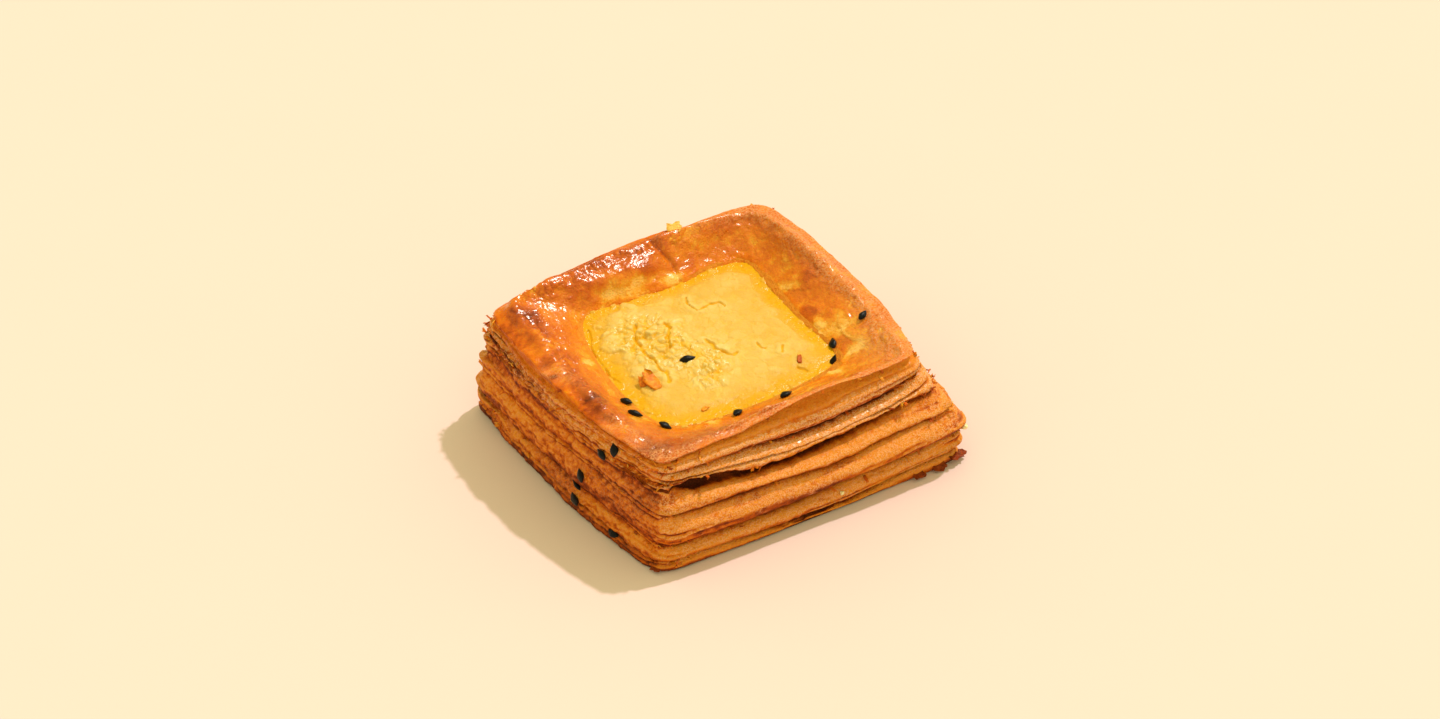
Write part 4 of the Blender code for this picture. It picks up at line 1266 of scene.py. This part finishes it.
def seed_material():
    """Black seeds with a dull sheen and a faintly wrinkled coat."""
    made, tree, shader, place = new_material("black_seed", {"Roughness": 0.34, "Specular IOR Level": 0.28})
    wrinkles = noise(tree, place, 0.35)
    wire(tree, shader, {"Base Color": mix_colour(tree, wrinkles, *SEED_COLOURS),
                        "Normal": bump(tree, wrinkles, 0.6, 0.2)})
    return made


def flake_material():
    """Thin crisp shreds of crust, which let some light through."""
    made, tree, shader, place = new_material("crisp_flake", {
        "Roughness": 0.5, "Specular IOR Level": 0.25, **glow(0.3, (1.0, 0.5, 0.15), 1.0)})
    coarse, fine = noise(tree, place, 1.6), noise(tree, place, 0.5)
    wire(tree, shader, {"Base Color": browned(tree, 0.6, coarse, fine, SKIN_COLOURS),
                        "Normal": bump(tree, fine, 0.5, 0.3)})
    return made


def grain_material():
    """Pale sugar that lets light through."""
    made, tree, shader, place = new_material("sugar_grain", {
        "Roughness": 0.3, **glow(0.5, (1.0, 0.8, 0.5), 1.0)})
    wire(tree, shader, {"Base Color": mix_colour(tree, noise(tree, place, 0.5), *SUGAR_COLOURS)})
    return made


def floor_material():
    """The plain paper that the pastry lies on, very faintly uneven in colour."""
    made, tree, shader, place = new_material("paper", {"Roughness": 0.85, "Specular IOR Level": 0.1})
    wire(tree, shader, {"Base Color": mix_colour(tree, noise(tree, place, 60.0), *FLOOR_COLOURS)})
    return made


# The stage

LENS, SENSOR = 100.0, 36.0
PICTURE = (1440, 719)
# The camera's direction, and what it looks at: a point on the pastry's axis and its place in the picture
CAMERA_TURN, CAMERA_RISE = math.radians(-33), math.radians(38)
AIM, AIM_PIXEL = Vector((-0.03, -0.51, 16.0)) * MM, (719.0, 388.0)
PIXELS_PER_MM = 3.61
SUN_DIRECTION = Vector((0.525, 0.112, 0.844))
SUN_STRENGTH, SUN_COLOUR, SUN_WIDTH = 2.4, (1.0, 0.95, 0.855), 0.035
# The studio round the soft light is dark, so shiny surfaces mirror less of it
SKY_COLOUR, SKY_STRENGTH, SKY_UNMIRRORED = (0.99, 1.06, 0.50, 1.0), 1.1, 0.95
FLOOR_HALF = 3.0


def camera():
    """The photograph's camera, and its frame."""
    data = bpy.data.cameras.new("camera")
    data.lens, data.sensor_width = LENS, SENSOR
    data.clip_start = 0.01
    right = Vector((math.cos(CAMERA_TURN), math.sin(CAMERA_TURN), 0))
    level = Vector((math.sin(CAMERA_TURN), -math.cos(CAMERA_TURN), 0))
    back = level * math.cos(CAMERA_RISE) + Vector((0, 0, math.sin(CAMERA_RISE)))
    distance = LENS / SENSOR * PICTURE[0] / PIXELS_PER_MM * MM
    axes = Matrix((right, back.cross(right), back)).transposed().to_4x4()
    data.shift_x = (PICTURE[0] / 2 - AIM_PIXEL[0]) / PICTURE[0]
    data.shift_y = (AIM_PIXEL[1] - PICTURE[1] / 2) / PICTURE[0]
    made = in_scene("camera", data)
    made.matrix_world = Matrix.Translation(AIM + back * distance) @ axes
    bpy.context.scene.camera = made


def lights():
    """A high sun from the right, and soft light from all round."""
    data = bpy.data.lights.new("sun", "SUN")
    data.energy, data.color, data.angle = SUN_STRENGTH, SUN_COLOUR, SUN_WIDTH
    in_scene("sun", data).rotation_euler = SUN_DIRECTION.to_track_quat("Z", "Y").to_euler()
    world = bpy.data.worlds.new("soft_light")
    world.use_nodes = True
    tree = world.node_tree
    background = tree.nodes["Background"]
    background.inputs["Color"].default_value = SKY_COLOUR
    mirrored = node(tree, "ShaderNodeLightPath").outputs["Is Glossy Ray"]
    wire(tree, background, {"Strength": scaled(tree, mirrored, -SKY_UNMIRRORED, SKY_STRENGTH)})
    bpy.context.scene.world = world
    bpy.context.scene.view_settings.view_transform = "Standard"


def floor():
    """A wide sheet under the pastry."""
    mesh = bpy.data.meshes.new("floor")
    corners = [(FLOOR_HALF * x, FLOOR_HALF * y, 0) for x, y in ((-1, -1), (1, -1), (1, 1), (-1, 1))]
    mesh.from_pydata(corners, [], [(0, 1, 2, 3)])
    made = in_scene("floor", mesh)
    made.data.materials.append(floor_material())


def dress(piece, node_name, finish):
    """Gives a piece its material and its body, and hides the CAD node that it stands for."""
    piece.data.materials.append(finish)
    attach(piece, "root")
    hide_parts(node_name)


def main():
    camera()
    lights()
    floor()
    line = crust_outline(turns(COLUMNS))
    crumb, skin, crisp = crumb_material(), skin_material(), flake_material()
    block, ring, top, custard = dough_block(line), dough_frame(line), crust_skin(line), filling()
    dough_tree, custard_tree = tree_of(block, ring, top), tree_of(custard)
    dress(block, "pastry", crumb)
    dress(ring, "pastry", crumb)
    dress(top, "pastry", skin)
    dress(custard, "filling", filling_material())
    dress(seeds(dough_tree, custard_tree), "pastry", seed_material())
    dress(flakes(dough_tree, custard_tree, line), "pastry", crisp)
    dress(grains(dough_tree), "pastry", grain_material())


main()
